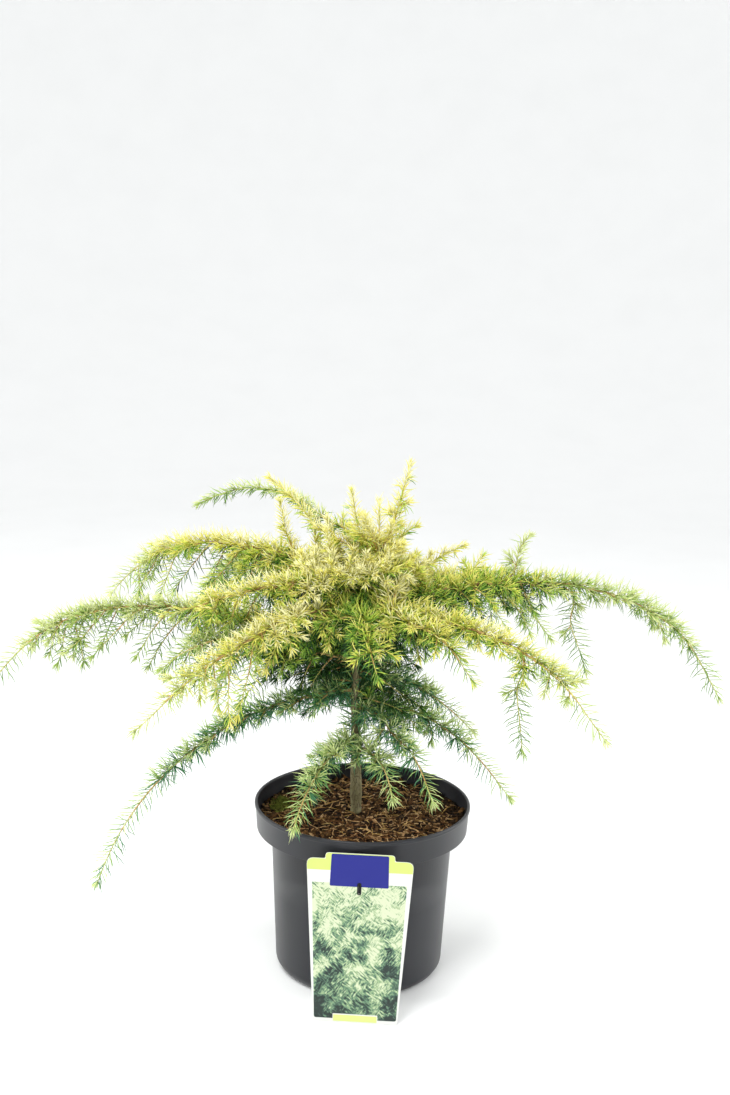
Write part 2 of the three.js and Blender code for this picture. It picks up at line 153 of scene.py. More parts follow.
def section(edges, point, heading, reach):
    """Where the edges near a point cross the plane through it."""
    heights = (edges - point) @ heading
    crossed = heights[:, 0] * heights[:, 1] < 0
    low, high = heights[crossed, 0], heights[crossed, 1]
    share = (low / (low - high))[:, None]
    places = edges[crossed, 0] + (edges[crossed, 1] - edges[crossed, 0]) * share
    return places[np.linalg.norm(places - point, axis=1) < reach]


def core_line(names, start, stations=14, rounds=5, reach=44):
    """The line down the middle of some long solids, from start to their far end, and its radius."""
    edges = edges_of(names)
    corners = edges.reshape(-1, 3)
    tip = corners[np.linalg.norm(corners - start, axis=1).argmax()]
    chord = tip - start
    shares = np.linspace(0, 1, stations)
    line = start + chord * shares[:, None]
    along = (corners - start) @ chord / (chord @ chord)
    for i in range(1, stations - 1):
        close = np.abs(along - shares[i]) < 0.6 / (stations - 1)
        if close.any():
            line[i] = corners[close].mean(0)
    radii = np.full(stations, 3.0)
    for _ in range(rounds):
        line = at(line, line, np.linspace(0, run_of(line)[-1], stations))
        ahead = headings(line)
        for i in range(1, stations - 1):
            places = section(edges, line[i], ahead[i], reach)
            if len(places) > 2:
                line[i] = places.mean(0)
                radii[i] = np.linalg.norm(places - line[i], axis=1).mean()
    dense = respaced(line, STEP)
    shares = run_of(dense) / run_of(dense)[-1]
    widths = np.interp(shares, run_of(line) / run_of(line)[-1], radii)
    return eased(dense, 24), widths


def nearest(line, point):
    """The number of the line's point that is nearest to a point."""
    return int(np.linalg.norm(line - point, axis=1).argmin())


# ---- what grows ----

LOW_ARMS = (
    "left_low", "front_left_low", "front_right_low", "right_front_low", "right_back_low", "right_low",
    "back_low",
)

# The limbs whose needles run from blue green to pale sage; the others run from deep green to pale gold.
COOL = (*LOW_ARMS, "trunk")

# The shoots that leave the top of the trunk.
TOP_SHOOTS = ("leader", "second_leader", "left_arch", "left_back_arch")

# How far from the trunk, in millimetres, a limb's warm needles give way to the soft, pale ones.
SOFTENS = {
    "left_far": 150, "right_far": 185, "left_back_arch": 60, "right_far_tuft": 0, "right_middle_hanger": 0,
    "right_far_hanger": 0, "left_far_hanger": 0, "left_under": 110, "left_high": 240, "front_right": 150,
    "back_left": 150, "riser": 260,
}
SOFTENS_ELSEWHERE = 200

# How golden each limb's needles are, from 0, deep green, to 1, pale gold.
TONE = {
    "left_far": 0.40, "left_high": 0.58, "left_middle": 0.56, "left_front": 0.66, "left_under": 0.34,
    "left_low": 0.20, "front_left_low": 0.26, "front_right_low": 0.28, "right_front_low": 0.24,
    "right_back_low": 0.26, "right_low": 0.24, "right_far": 0.28, "right_middle": 0.50,
    "front_right": 0.46, "front_middle": 0.26, "back_right": 0.42, "back_middle": 0.46,
    "back_left": 0.46, "back_low": 0.20, "leader": 0.66, "second_leader": 0.64, "left_arch": 0.64,
    "left_back_arch": 0.36, "right_back_tuft": 0.66, "right_far_tuft": 0.46,
    "right_middle_hanger": 0.30, "right_far_hanger": 0.30, "left_far_hanger": 0.36,
    # The collar's low tone is painted shade: its shoots grow behind the trunk, deep under the crown, and
    # get darker needles for it.
    "upper_middle": 0.68, "lower_middle": 0.28, "trunk": 0.12, "collar": 0.05,
    "crown": 0.74, "crest": 0.66, "riser": 0.68,
}
RIPE_FROM, RIPE_TO = 0.3, 0.85  # between these shares of a shoot its needles grow warmer
THINNEST = 0.45  # the radius of a shoot at its tip


class Shoot:
    """One stretch of wood: its line, its radius at both ends, how warm its needles are and become."""

    def __init__(self, name, line, thick, thin, tone, ripening=0.0):
        self.name = name
        self.line = line
        self.length = run_of(line)[-1]
        self.thick = thick
        self.thin = thin
        self.tone = tone
        self.ripening = ripening
        self.family = "cool" if name in COOL else "warm"
        self.softens = SOFTENS.get(name, SOFTENS_ELSEWHERE)

    def radii(self):
        share = run_of(self.line) / self.length
        return blend(self.thick, self.thin, share ** 0.8)

    def ripe(self, distances):
        """How much warmer the needles are at distances along the shoot than at its foot."""
        return self.ripening * smooth(distances / self.length, RIPE_FROM, RIPE_TO)


def grown(start, heading, length, droop, wander):
    """A line that sets off along heading, wanders, and turns down by droop for each millimetre."""
    places = [np.asarray(start, float)]
    for kink in random.normal(0, wander, (max(3, int(length / STEP)), 3)):
        heading = unit(heading + kink - UP * droop * STEP)
        places.append(places[-1] + heading * STEP)
    return np.array(places)


def joining(limb, target, ahead, slack=0.55, pull=0.35):
    """A curved line that leaves a limb at an easy angle and runs into a point, heading ahead there."""
    foot = nearest(limb.line, target)
    gap = np.linalg.norm(limb.line[foot] - target)
    foot = max(1, foot - int(slack * gap / STEP))
    start, leaving = limb.line[foot], headings(limb.line)[foot]
    span = np.linalg.norm(target - start)
    share = np.linspace(0, 1, max(3, int(span / STEP)))[:, None]
    first = start + leaving * span * pull
    second = target - ahead * span * pull
    return (
        (1 - share) ** 3 * start + 3 * share * (1 - share) ** 2 * first
        + 3 * share ** 2 * (1 - share) * second + share ** 3 * target
    )


def read_trunk():
    """The trunk, and its radius at each point of its line."""
    low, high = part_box("trunk")
    foot = np.array([(low.x + high.x) / 2, (low.y + high.y) / 2, low.z]) / MM
    corners = edges_of(["trunk"]).reshape(-1, 3)
    foot[:2] = corners[corners[:, 2] < foot[2] + 2][:, :2].mean(0)
    line, widths = core_line(["trunk"], foot, stations=18, reach=14)
    widths[:2] = widths[2]
    return Shoot("trunk", line, widths[2], widths[-3], TONE["trunk"]), widths


def read_arm(name, trunk):
    """An arm's leader, from the trunk's middle through its bough and its masses of foliage."""
    bough = edges_of([f"bough_{name}"]).reshape(-1, 3)
    gaps = np.linalg.norm(trunk.line[:, None] - bough[None], axis=2).min(1)
    foot = trunk.line[gaps.argmin()]
    own = [f"foliage_{name}_{share}" for share in ("inner", "tip", "spray")]
    line, widths = core_line([f"bough_{name}", *(node for node in FOLIAGE if node in own)], foot)
    slimness, ripening = (0.6, 0.26) if name in LOW_ARMS else (0.85, 0.06)
    thick = float(np.clip(widths[3], 1.5, 2.9)) * slimness
    return Shoot(name, line, thick, 0.5, TONE[name], ripening)


def read_free_shoot(name, limbs):
    """A shoot that has a mass but no bough: it leaves the nearest limb, or the top of the trunk."""
    corners = edges_of([f"foliage_{name}"]).reshape(-1, 3)
    middle = corners.mean(0)
    limb = min(limbs, key=lambda one: np.linalg.norm(one.line - middle, axis=1).min())
    hook = limb.line[nearest(limb.line, middle)]
    if name in TOP_SHOOTS:
        limb = limbs[0]
        hook = limb.line[-1]
    near_end = corners[np.linalg.norm(corners - hook, axis=1).argmin()]
    line = core_line([f"foliage_{name}"], near_end, stations=10)[0][2:-2]
    start = joining(limb, line[0], unit(line[2] - line[0]))
    whole = eased(respaced(np.concatenate([start[:-1], line]), STEP), 8)
    return Shoot(name, whole, 0.6 + run_of(whole)[-1] * 0.003, THINNEST, TONE[name])


# ---- the branching rule ----

def branch_out(limb, first, last, spacing, longest, droop=0.010, sag=0.10, flat=0.85, cooler=0.0):
    """Side shoots that leave a limb to the left and right in turn, longest a third of the way out.

    They set off below level by sag, spread sideways by flat, and their needles are less warm by cooler.
    """
    shoots = []
    ahead = headings(limb.line)
    side, above = crosswise(ahead)
    hand = 1
    distance = first + random.uniform(0, spacing)
    while distance < last:
        spot = min(len(limb.line) - 2, int(distance / limb.length * (len(limb.line) - 1)))
        share = (distance - first) / max(last - first, 1)
        swell = 0.45 + 0.75 * math.sin(math.pi * min(1, 0.22 + 0.8 * share))
        length = longest * swell * random.uniform(0.62, 1.12)
        lean = random.uniform(0.75, 1.15)
        rise = random.normal(-sag, 0.32)
        heading = unit(
            ahead[spot] * math.cos(lean)
            + (hand * side[spot] * flat + above[spot] * rise) * math.sin(lean)
        )
        line = grown(limb.line[spot], heading, length, droop * random.uniform(0.6, 1.4), 0.035)
        thick = min(limb.radii()[spot] * 0.62, 0.62 + length * 0.010)
        tone = limb.tone + float(limb.ripe(distance)) - cooler + random.normal(0, 0.11)
        shoots.append(Shoot(limb.name, line, max(thick, 0.6), 0.42, tone, 0.06))
        hand = -hand
        distance += spacing * random.uniform(0.6, 1.4)
    return shoots


def riser(arm, distance, height):
    """A short upright shoot that stands on an arm, a distance out from the trunk."""
    spot = int(distance / STEP)
    heading = unit(headings(arm.line)[spot] * 0.3 + UP)
    line = grown(arm.line[spot], heading, height, -0.004, 0.03)
    return Shoot("riser", line, 0.9, THINNEST, TONE["riser"])


def whorl_out(name, limb, first, last, spacing, longest, turns, rise):
    """Shoots that leave an upright limb between two turns, well spread round it, rising or hanging."""
    shoots = []
    for number, distance in enumerate(np.arange(first, last, spacing)):
        turn = blend(*turns, number * GOLDEN_SHARE % 1)
        heading = unit(np.array([math.cos(turn), math.sin(turn), rise + random.uniform(-0.3, 0.3)]))
        start = at(limb.line, limb.line, distance)
        line = grown(start, heading, longest * random.uniform(0.5, 1), 0.007, 0.05)
        shoots.append(Shoot(name, line, 1.0, THINNEST, TONE[name] + random.normal(0, 0.05)))
    return shoots


HEART_REACH = 70.0  # the stretch of each limb that a heart's shoots may leave
TOO_HIGH = 40.0  # how much further off wood counts that stands above a shoot's tip


def heart_shoots(node, limbs, count):
    """Short shoots that fill one of the dense lumps round the trunk, each from the nearest wood below."""
    low, high = (np.array(corner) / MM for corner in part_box(node))
    centre, half = (low + high) / 2, (high - low) / 2
    name = node.replace("foliage_", "")
    inner = [limb.line[:max(4, int(HEART_REACH / STEP))] for limb in limbs]
    points = np.concatenate(inner)
    owners = np.repeat(np.arange(len(limbs)), [len(line) for line in inner])
    shoots = []
    for i in range(count):
        turn = i * GOLDEN_TURN
        level = blend(-0.55, 0.98, (i + 0.5) / count)
        ring = math.sqrt(1 - level * level)
        target = centre + half * np.array([ring * math.cos(turn), ring * math.sin(turn), level]) * 0.84
        gaps = np.linalg.norm((points - target) * [1, 1, 1.3], axis=1)
        gaps = gaps + TOO_HIGH * (points[:, 2] > target[2] - 4)
        outward = unit(target - centre + UP * 20 * max(level, 0))
        ahead = unit(outward * 0.6 + UP * level * 0.7)
        line = joining(limbs[owners[gaps.argmin()]], target, ahead, slack=0.35)
        if run_of(line)[-1] >= 8:
            shoots.append(Shoot(name, line, 1.1, 0.5, TONE[name] + random.normal(0, 0.14)))
    return shoots


# ---- needles ----

NEEDLES = {"base": [], "heading": [], "length": [], "warmth": [], "family": []}


def keep_needles(shoot, base, heading, length, warmth):
    NEEDLES["base"].append(base)
    NEEDLES["heading"].append(unit(heading))
    NEEDLES["length"].append(length)
    NEEDLES["warmth"].append(warmth)
    outward = np.hypot(base[:, 0], base[:, 1]) + random.normal(0, 20, len(base))
    soft = (outward > shoot.softens) & (shoot.family == "warm")
    NEEDLES["family"].append(np.where(soft, "soft", shoot.family))


def warmth_of(tone, heading, tipness=0.0):
    """How golden needles are: warmer where they face up and towards a shoot's tip. The facing term is
    partly the cultivar's own gold on its sunlit side and partly painted light: needles facing up are
    painted lighter and needles facing down darker, as if shaded.
    """
    return tone + 0.34 * heading[:, 2] + 0.12 * tipness + random.normal(0, 0.13, len(heading))


def shade_of(places, first=10, last=270, cell=15.0):
    """How shaded needles are, from 0 to 1, by how many stand over them in columns a cell wide."""
    columns = np.floor((places[:, :2] - places[:, :2].min(0)) / cell).astype(int)
    column = columns[:, 0] * (columns[:, 1].max() + 1) + columns[:, 1]
    downwards = np.lexsort((-places[:, 2], column))
    _, starts, sizes = np.unique(column[downwards], return_index=True, return_counts=True)
    above = np.empty(len(places))
    above[downwards] = np.arange(len(places)) - np.repeat(starts, sizes)
    return smooth(above, first, last)


def fanned(ahead, side, above, turn, angle):
    """Directions that lean out from ahead by an angle, each towards its own turn round it."""
    around = side * np.cos(turn)[:, None] + above * np.sin(turn)[:, None]
    return ahead * np.cos(angle)[:, None] + around * np.sin(angle)[:, None]


def clothe(shoot, first, spacing, length, opened=62, closed=34):
    """Single needles in a spiral along a shoot, closing forwards to a brush at its tip."""
    distances = np.arange(first, shoot.length, spacing)
    count = len(distances)
    if count == 0:
        return
    distances = distances + random.uniform(-0.5, 0.5, count) * spacing
    ahead = at(shoot.line, headings(shoot.line), distances)
    turn = np.arange(count) * GOLDEN_TURN + random.normal(0, 0.25, count)
    tipness = 1 - smooth(shoot.length - distances, 4, 34)
    angle = np.radians(blend(opened, closed, tipness) + random.normal(0, 7, count))
    heading = fanned(ahead, *crosswise(unit(ahead)), turn, angle)
    heading = unit(heading + UP * 0.10 * (heading[:, 2:3] < 0))
    sizes = length * random.uniform(0.78, 1.12, count) * blend(1, 0.72, tipness)
    warmth = warmth_of(shoot.tone + shoot.ripe(distances), heading, tipness)
    keep_needles(shoot, at(shoot.line, shoot.line, distances), heading, sizes, warmth)
    brush(shoot, length * 0.66)


def brush(shoot, length, count=9):
    """The bundle of young needles at a shoot's tip."""
    ahead = headings(shoot.line)[-1]
    angle = np.radians(random.uniform(4, 46, count))
    heading = fanned(ahead, *crosswise(ahead), np.arange(count) * GOLDEN_TURN, angle)
    base = shoot.line[-1] - ahead * random.uniform(0, 3, count)[:, None]
    warmth = shoot.tone + shoot.ripening + 0.16 + random.normal(0, 0.08, count)
    keep_needles(shoot, base, heading, length * random.uniform(0.7, 1.05, count), warmth)


def tufts(shoot, first, last, spacing, length, most, upward, lift=0.06):
    """Short spurs along older wood, each with a ring of needles; upward gathers them on its upper side."""
    distances = np.arange(first, last, spacing)
    distances = distances + random.uniform(-0.4, 0.4, len(distances)) * spacing
    fewer = smooth(distances, first, max(last, first + 1))
    counts = np.round(blend(most, most * 0.6, fewer)).astype(int)
    ahead = unit(at(shoot.line, headings(shoot.line), distances))
    side, above = crosswise(ahead)
    bases = at(shoot.line, shoot.line, distances)
    widths = at(shoot.line, shoot.radii(), distances)
    for i, count in enumerate(counts):
        roll = math.pi / 2 + (i * GOLDEN_TURN) % (2 * math.pi) - math.pi
        roll = math.pi / 2 + (roll - math.pi / 2) * (1 - upward)
        axis = unit(side[i] * math.cos(roll) + above[i] * math.sin(roll) + ahead[i] * 0.35)
        turn = np.arange(count) * GOLDEN_TURN + random.uniform(0, 6)
        angle = np.radians(random.uniform(8, 66, count))
        heading = fanned(axis, *crosswise(axis), turn, angle)
        base = bases[i] + axis * widths[i] * 0.8 + heading * 0.5
        tone = shoot.tone + shoot.ripe(distances[i]) + lift + random.normal(0, 0.10)
        warmth = warmth_of(tone, heading)
        keep_needles(shoot, base, heading, length * random.uniform(0.7, 1.1, count), warmth)


# The needle colours of each family, each with the warmth up to which it is used.
TINTS = {
    "warm": [
        ("needles_shaded_green", "2c5222", 0.00),
        ("needles_deep_green", "3e6c2d", 0.14),
        ("needles_leaf_green", "699a3d", 0.28),
        ("needles_fresh_green", "96c04a", 0.42),
        ("needles_lime", "c3db58", 0.56),
        ("needles_yellow", "e6e76b", 0.72),
        ("needles_gold", "f8ef84", 0.90),
        ("needles_pale_gold", "fdf9bc", math.inf),
    ],
    "soft": [
        ("needles_olive_green", "6a9340", 0.15),
        ("needles_soft_green", "98b95a", 0.31),
        ("needles_pale_green", "bed57c", 0.50),
        ("needles_cream_green", "dfe9a4", math.inf),
    ],
    "cool": [
        ("needles_blue_green", "4f8a60", 0.16),
        ("needles_sea_green", "7fae66", 0.30),
        ("needles_sage", "a8c671", 0.44),
        ("needles_pale_sage", "d8e79e", math.inf),
    ],
}

SHADING = {"warm": 0.30, "soft": 0.18, "cool": 0.08}  # how much warmth full shade takes from a needle
MOST_NEEDLES = 19500  # in one piece, at ten triangles each
NEEDLE_WIDTH = 1.05
NEEDLE_CORNERS = 3


def needle_mesh(name, base, heading, length):
    """One joined mesh of closed, slightly bent needles, each three-sided and drawn out to a point."""
    count = len(base)
    side, above = crosswise(heading)
    sag = random.normal(0, 0.05, (count, 1)) * side + random.normal(0.03, 0.05, (count, 1)) * above
    rings = []
    for share, width, bend in ((0.0, 0.7, 0.0), (0.55, 1.0, 1.0)):
        centre = base + heading * (length * share)[:, None] + sag * (length * bend)[:, None]
        for k in range(NEEDLE_CORNERS):
            turn = 2 * math.pi * k / NEEDLE_CORNERS
            reach = side * math.cos(turn) + above * math.sin(turn)
            rings.append(centre + reach * width * NEEDLE_WIDTH / 2)
    tips = base + heading * length[:, None]
    corners = np.stack([*rings, tips], 1)
    faces = [[2, 1, 0]]
    for k in range(NEEDLE_CORNERS):
        after = (k + 1) % NEEDLE_CORNERS
        faces += [[k, after, 3 + after], [k, 3 + after, 3 + k], [3 + k, 3 + after, 6]]
    return mesh_from(name, corners, faces)


def mesh_from(name, corners, faces):
    """A mesh of many like bodies: each one's corners, in millimetres, and the triangles of one."""
    firsts = corners.shape[1] * np.arange(len(corners))[:, None, None]
    triangles = (np.array(faces)[None] + firsts).reshape(-1, 3)
    places = corners.reshape(-1, 3)
    mesh = bpy.data.meshes.new(name)
    mesh.vertices.add(len(places))
    mesh.loops.add(len(triangles) * 3)
    mesh.polygons.add(len(triangles))
    mesh.vertices.foreach_set("co", (places * MM).astype(np.float32).ravel())
    mesh.polygons.foreach_set("loop_start", np.arange(0, len(triangles) * 3, 3, dtype=np.int32))
    mesh.polygons.foreach_set("loop_total", np.full(len(triangles), 3, np.int32))
    mesh.loops.foreach_set("vertex_index", triangles.astype(np.int32).ravel())
    mesh.update(calc_edges=True)
    mesh.validate()
    return mesh


# ---- pieces ----

def placed(name, data):
    """A new object in the scene, at the origin."""
    made = bpy.data.objects.new(name, data)
    bpy.context.scene.collection.objects.link(made)
    return made


def finished(shape, mesh):
    """The mesh, with a worked shape written into it."""
    shape.to_mesh(mesh)
    shape.free()
    return mesh


def piece(mesh, material, replaced=(), soft=True):
    """A finished piece of the plant on the one body, with its finish and the nodes that it stands for."""
    made = placed(mesh.name, mesh)
    mesh.materials.clear()
    mesh.materials.append(material)
    if soft:
        mesh.polygons.foreach_set("use_smooth", np.ones(len(mesh.polygons), bool))
    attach(made, "root")
    if replaced:
        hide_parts(*replaced)


def tube_mesh(name, strands, roundness):
    """One mesh of round closed tubes, one for each line with its radii."""
    curve = bpy.data.curves.new(name, "CURVE")
    curve.dimensions = "3D"
    curve.bevel_depth = MM
    curve.bevel_resolution = roundness
    curve.use_fill_caps = True
    for line, radii in strands:
        spline = curve.splines.new("POLY")
        spline.points.add(len(line) - 1)
        places = np.concatenate([line * MM, np.ones((len(line), 1))], 1)
        spline.points.foreach_set("co", places.ravel())
        spline.points.foreach_set("radius", np.asarray(radii, float))
    holder = placed(name + "_line", curve)
    graph = bpy.context.evaluated_depsgraph_get()
    mesh = bpy.data.meshes.new_from_object(holder.evaluated_get(graph))
    bpy.data.objects.remove(holder)
    bpy.data.curves.remove(curve)
    mesh.name = name
    shape = bmesh.new()
    shape.from_mesh(mesh)
    bmesh.ops.remove_doubles(shape, verts=shape.verts, dist=0.004 * MM)
    bmesh.ops.recalc_face_normals(shape, faces=shape.faces)
    return finished(shape, mesh)


def roughened(mesh, depth, grain, stretch):
    """The mesh with a bark's ridges and scars: noise along the normals, drawn out upwards by stretch."""
    shape = bmesh.new()
    shape.from_mesh(mesh)
    for corner in shape.verts:
        spot = corner.co / (grain * MM)
        spot.z /= stretch
        ridge = noise.noise(spot) + 0.5 * noise.noise(spot * 2.3)
        corner.co += corner.normal * ridge * depth * MM
    return finished(shape, mesh)


# ---- materials ----

def colour(code):
    """An sRGB hex colour as linear red, green, blue and alpha."""
    parts = [int(code[i:i + 2], 16) / 255 for i in (0, 2, 4)]
    return (*[c / 12.92 if c <= 0.04045 else ((c + 0.055) / 1.055) ** 2.4 for c in parts], 1.0)


def fit(tree, made, inputs):
    """Sets or links a node's inputs."""
    for name, value in inputs.items():
        if isinstance(value, bpy.types.NodeSocket):
            tree.links.new(value, made.inputs[name])
        else:
            made.inputs[name].default_value = value


def add(tree, kind, inputs, **settings):
    """Adds a shader node, sets its properties, and sets or links its inputs."""
    made = tree.nodes.new("ShaderNode" + kind)
    for name, value in settings.items():
        setattr(made, name, value)
    fit(tree, made, inputs)
    return made


def finish_of(name, **sockets):
    """A new material: it, its node tree, its shader with the sockets given, and where a point is."""
    material = bpy.data.materials.new(name)
    material.use_nodes = True
    tree = material.node_tree
    shader = tree.nodes["Principled BSDF"]
    fit(tree, shader, {socket.replace("_", " "): value for socket, value in sockets.items()})
    return material, tree, shader, add(tree, "TexCoord", {}).outputs["Object"]


def ramp(tree, factor, *stops):
    """A colour ramp through (place, colour) stops."""
    made = add(tree, "ValToRGB", {"Fac": factor})
    bar = made.color_ramp
    while len(bar.elements) < len(stops):
        bar.elements.new(0.5)
    for element, (place, code) in zip(bar.elements, stops):
        element.position = place
        element.color = colour(code)
    return made.outputs["Color"]


def per_mm(size):
    """The texture scale at which a pattern repeats about every size millimetres."""
    return 1 / (size * MM)


def waxy_needle(name, code):
    """A conifer needle: a plain colour under a thin wax, a little glossy, with faint lines of pores."""
    material, tree, shader, where = finish_of(
        name, IOR=1.45, Specular_IOR_Level=0.35, Subsurface_Weight=0.12, Subsurface_Scale=0.6 * MM,
        Subsurface_Radius=(1.0, 1.0, 0.4), Base_Color=colour(code),
    )
    pores = add(tree, "TexNoise", {"Vector": where, "Scale": per_mm(1.1), "Detail": 2.0})
    shine = add(tree, "MapRange", {"Value": pores.outputs["Fac"], "To Min": 0.34, "To Max": 0.52})
    fit(tree, shader, {"Roughness": shine.outputs["Result"]})
    return material


def grey_bark():
    """Young cedar trunk bark: grey brown, finely cracked up its length, dull."""
    material, tree, shader, where = finish_of(
        "grey_bark_cracked", IOR=1.5, Specular_IOR_Level=0.25, Roughness=0.88
    )
    drawn = add(tree, "Mapping", {"Vector": where, "Scale": (1.0, 1.0, 0.28)}).outputs[0]
    patches = add(tree, "TexNoise", {"Vector": drawn, "Scale": per_mm(7), "Detail": 5.0})
    cracks = add(
        tree, "TexVoronoi", {"Vector": drawn, "Scale": per_mm(1.7)}, feature="DISTANCE_TO_EDGE"
    )
    tone = ramp(
        tree, patches.outputs["Fac"], (0.3, "676046"), (0.5, "87805c"), (0.68, "9d9674"), (0.8, "afa986")
    )
    split = add(tree, "MapRange", {"Value": cracks.outputs["Distance"], "From Max": 0.12})
    split = split.outputs["Result"]
    mixed = add(tree, "Mix", {"Factor": split, "A": colour("5f5440"), "B": tone}, data_type="RGBA")
    relief = add(tree, "Bump", {"Height": split, "Strength": 0.3, "Distance": 0.3 * MM})
    fit(tree, shader, {"Base Color": mixed.outputs["Result"], "Normal": relief.outputs["Normal"]})
    return material


def young_bark(name, dark, middle, light, grain):
    """Bark of one to three years: thin, smooth and warm, with the scars of shed needles."""
    material, tree, shader, where = finish_of(name, IOR=1.48, Specular_IOR_Level=0.35, Roughness=0.68)
    patches = add(tree, "TexNoise", {"Vector": where, "Scale": per_mm(grain), "Detail": 4.0})
    scars = add(tree, "TexVoronoi", {"Vector": where, "Scale": per_mm(1.6)})
    tone = ramp(tree, patches.outputs["Fac"], (0.34, dark), (0.52, middle), (0.7, light))
    relief = add(
        tree, "Bump", {"Height": scars.outputs["Distance"], "Strength": 0.4, "Distance": 0.2 * MM}
    )
    fit(tree, shader, {"Base Color": tone, "Normal": relief.outputs["Normal"]})
    return material


def moulded_polypropylene():
    """Black recycled polypropylene, injection moulded: a soft satin with faint flow marks and scuffs."""
    material, tree, shader, where = finish_of(
        "moulded_polypropylene_black", IOR=1.49, Specular_IOR_Level=0.42
    )
    tall = add(tree, "Mapping", {"Vector": where, "Scale": (1.0, 1.0, 0.2)}).outputs[0]
    flow = add(tree, "TexNoise", {"Vector": tall, "Scale": per_mm(26), "Detail": 3.0}).outputs["Fac"]
    grit = add(tree, "TexNoise", {"Vector": where, "Scale": per_mm(1.4), "Detail": 2.0})
    tone = ramp(tree, flow, (0.3, "1b1c20"), (0.7, "24252a"))
    shine = add(tree, "MapRange", {"Value": flow, "To Min": 0.30, "To Max": 0.44}).outputs["Result"]
    relief = add(
        tree, "Bump", {"Height": grit.outputs["Fac"], "Strength": 0.12, "Distance": 0.15 * MM}
    )
    fit(tree, shader, {"Base Color": tone, "Roughness": shine, "Normal": relief.outputs["Normal"]})
    return material


def crumbled(name, dark, middle, light, grain):
    """Composted bark and coir: broken, fibrous, without any gloss."""
    material, tree, shader, where = finish_of(name, IOR=1.45, Specular_IOR_Level=0.2, Roughness=0.95)
    crumbs = add(tree, "TexNoise", {"Vector": where, "Scale": per_mm(grain), "Detail": 6.0})
    crumbs = crumbs.outputs["Fac"]
    tone = ramp(tree, crumbs, (0.32, dark), (0.5, middle), (0.7, light))
    relief = add(tree, "Bump", {"Height": crumbs, "Strength": 0.8, "Distance": 0.8 * MM})
    fit(tree, shader, {"Base Color": tone, "Normal": relief.outputs["Normal"]})
    return material


# Printed polystyrene card: ink under a clear, even varnish.
VARNISH = {"IOR": 1.5, "Specular_IOR_Level": 0.2, "Coat_Weight": 0.15, "Coat_Roughness": 0.2}


def printed_card(name, code):
    """Card with one even ink, evenly glossy."""
    material, tree, shader, where = finish_of(name, Base_Color=colour(code), **VARNISH)
    grain = add(tree, "TexNoise", {"Vector": where, "Scale": per_mm(3), "Detail": 3.0})
    shine = add(tree, "MapRange", {"Value": grain.outputs["Fac"], "To Min": 0.30, "To Max": 0.40})
    fit(tree, shader, {"Roughness": shine.outputs["Result"]})
    return material


def printed_foliage():
    """Card with a picture of soft conifer foliage: pale feathery sprays over green and grey shade."""
    material, tree, shader, where = finish_of("printed_card_foliage", Roughness=0.34, **VARNISH)
    layers = []
    for turn, size in ((0.7, 1.7), (-0.95, 1.2)):
        tilted = add(
            tree, "Mapping",
            {"Vector": where, "Rotation": (0.0, turn, 0.0), "Scale": (3.4, 1.0, 0.8)},
            vector_type="TEXTURE",
        )
        streak = add(
            tree, "TexNoise",
            {"Vector": tilted.outputs[0], "Scale": per_mm(size), "Detail": 6.0, "Distortion": 0.5},
        )
        layers.append(streak.outputs["Fac"])
    clumps = add(tree, "TexNoise", {"Vector": where, "Scale": per_mm(12), "Detail": 2.0})
    which = add(
        tree, "MapRange", {"Value": clumps.outputs["Fac"], "From Min": 0.44, "From Max": 0.56}
    )
    woven = add(tree, "Mix", {"Factor": which.outputs["Result"], "A": layers[0], "B": layers[1]})
    shade = add(tree, "TexNoise", {"Vector": where, "Scale": per_mm(17), "Detail": 4.0})
    height = add(tree, "SeparateXYZ", {"Vector": where})
    raised = add(
        tree, "MapRange",
        {"Value": height.outputs["Z"], "From Min": 0.0, "From Max": 0.14, "To Min": -0.15, "To Max": 0.08},
    )
    lit = add(
        tree, "Math", {0: shade.outputs["Fac"], 1: raised.outputs["Result"]}, operation="ADD"
    )
    depth = add(tree, "Math", {0: woven.outputs["Result"], 1: lit.outputs[0]}, operation="ADD")
    spread = add(
        tree, "MapRange", {"Value": depth.outputs[0], "From Min": 0.76, "From Max": 1.18}
    )
    tone = ramp(
        tree, spread.outputs[0],
        (0.08, "323c39"), (0.24, "4d695a"), (0.40, "6f9474"), (0.56, "a0b98a"), (0.78, "d6dfbd"),
    )
    fit(tree, shader, {"Base Color": tone})
    return material


# ---- the pot, spun from its profile ----

POT = {
    "wall": 2.2, "floor": 3.0, "skirt_bottom": 152.0, "skirt_radius": 109.5, "shoulder_radius": 94.5,
    "heel_height": 20.0, "heel_radius": 87.5, "heel_bend": 12.0, "foot_radius": 81.0, "foot_hollow": 2.2,
    "ring_inner": 69.0, "ring_outer": 77.5, "bead_height": 146.0, "bead": 1.1,
}
NOTCHES = 8
NOTCH_WIDTH = 10.0
NOTCH_HEIGHT = 3.5
NOTCH_REACH = 7.0  # the height up to which the foot is drawn in


def arc(centre, radius, start, end, steps):
    """Points of radius and height on an arc, in degrees from outwards to upwards."""
    turns = np.radians(np.linspace(start, end, steps))
    return [(centre[0] + radius * math.cos(t), centre[1] + radius * math.sin(t)) for t in turns]


def spun(profile, steps):
    """A body spun about the upright axis from points of radius and height."""
    shape = bmesh.new()
    corners = [shape.verts.new((radius * MM, 0, height * MM)) for radius, height in profile]
    edges = [shape.edges.new(pair) for pair in zip(corners, corners[1:])]
    bmesh.ops.spin(
        shape, geom=corners + edges, cent=(0, 0, 0), axis=(0, 0, 1), angle=2 * math.pi, steps=steps,
        use_merge=True, use_duplicate=False,
    )
    bmesh.ops.remove_doubles(shape, verts=shape.verts, dist=0.002 * MM)
    bmesh.ops.recalc_face_normals(shape, faces=shape.faces)
    return shape


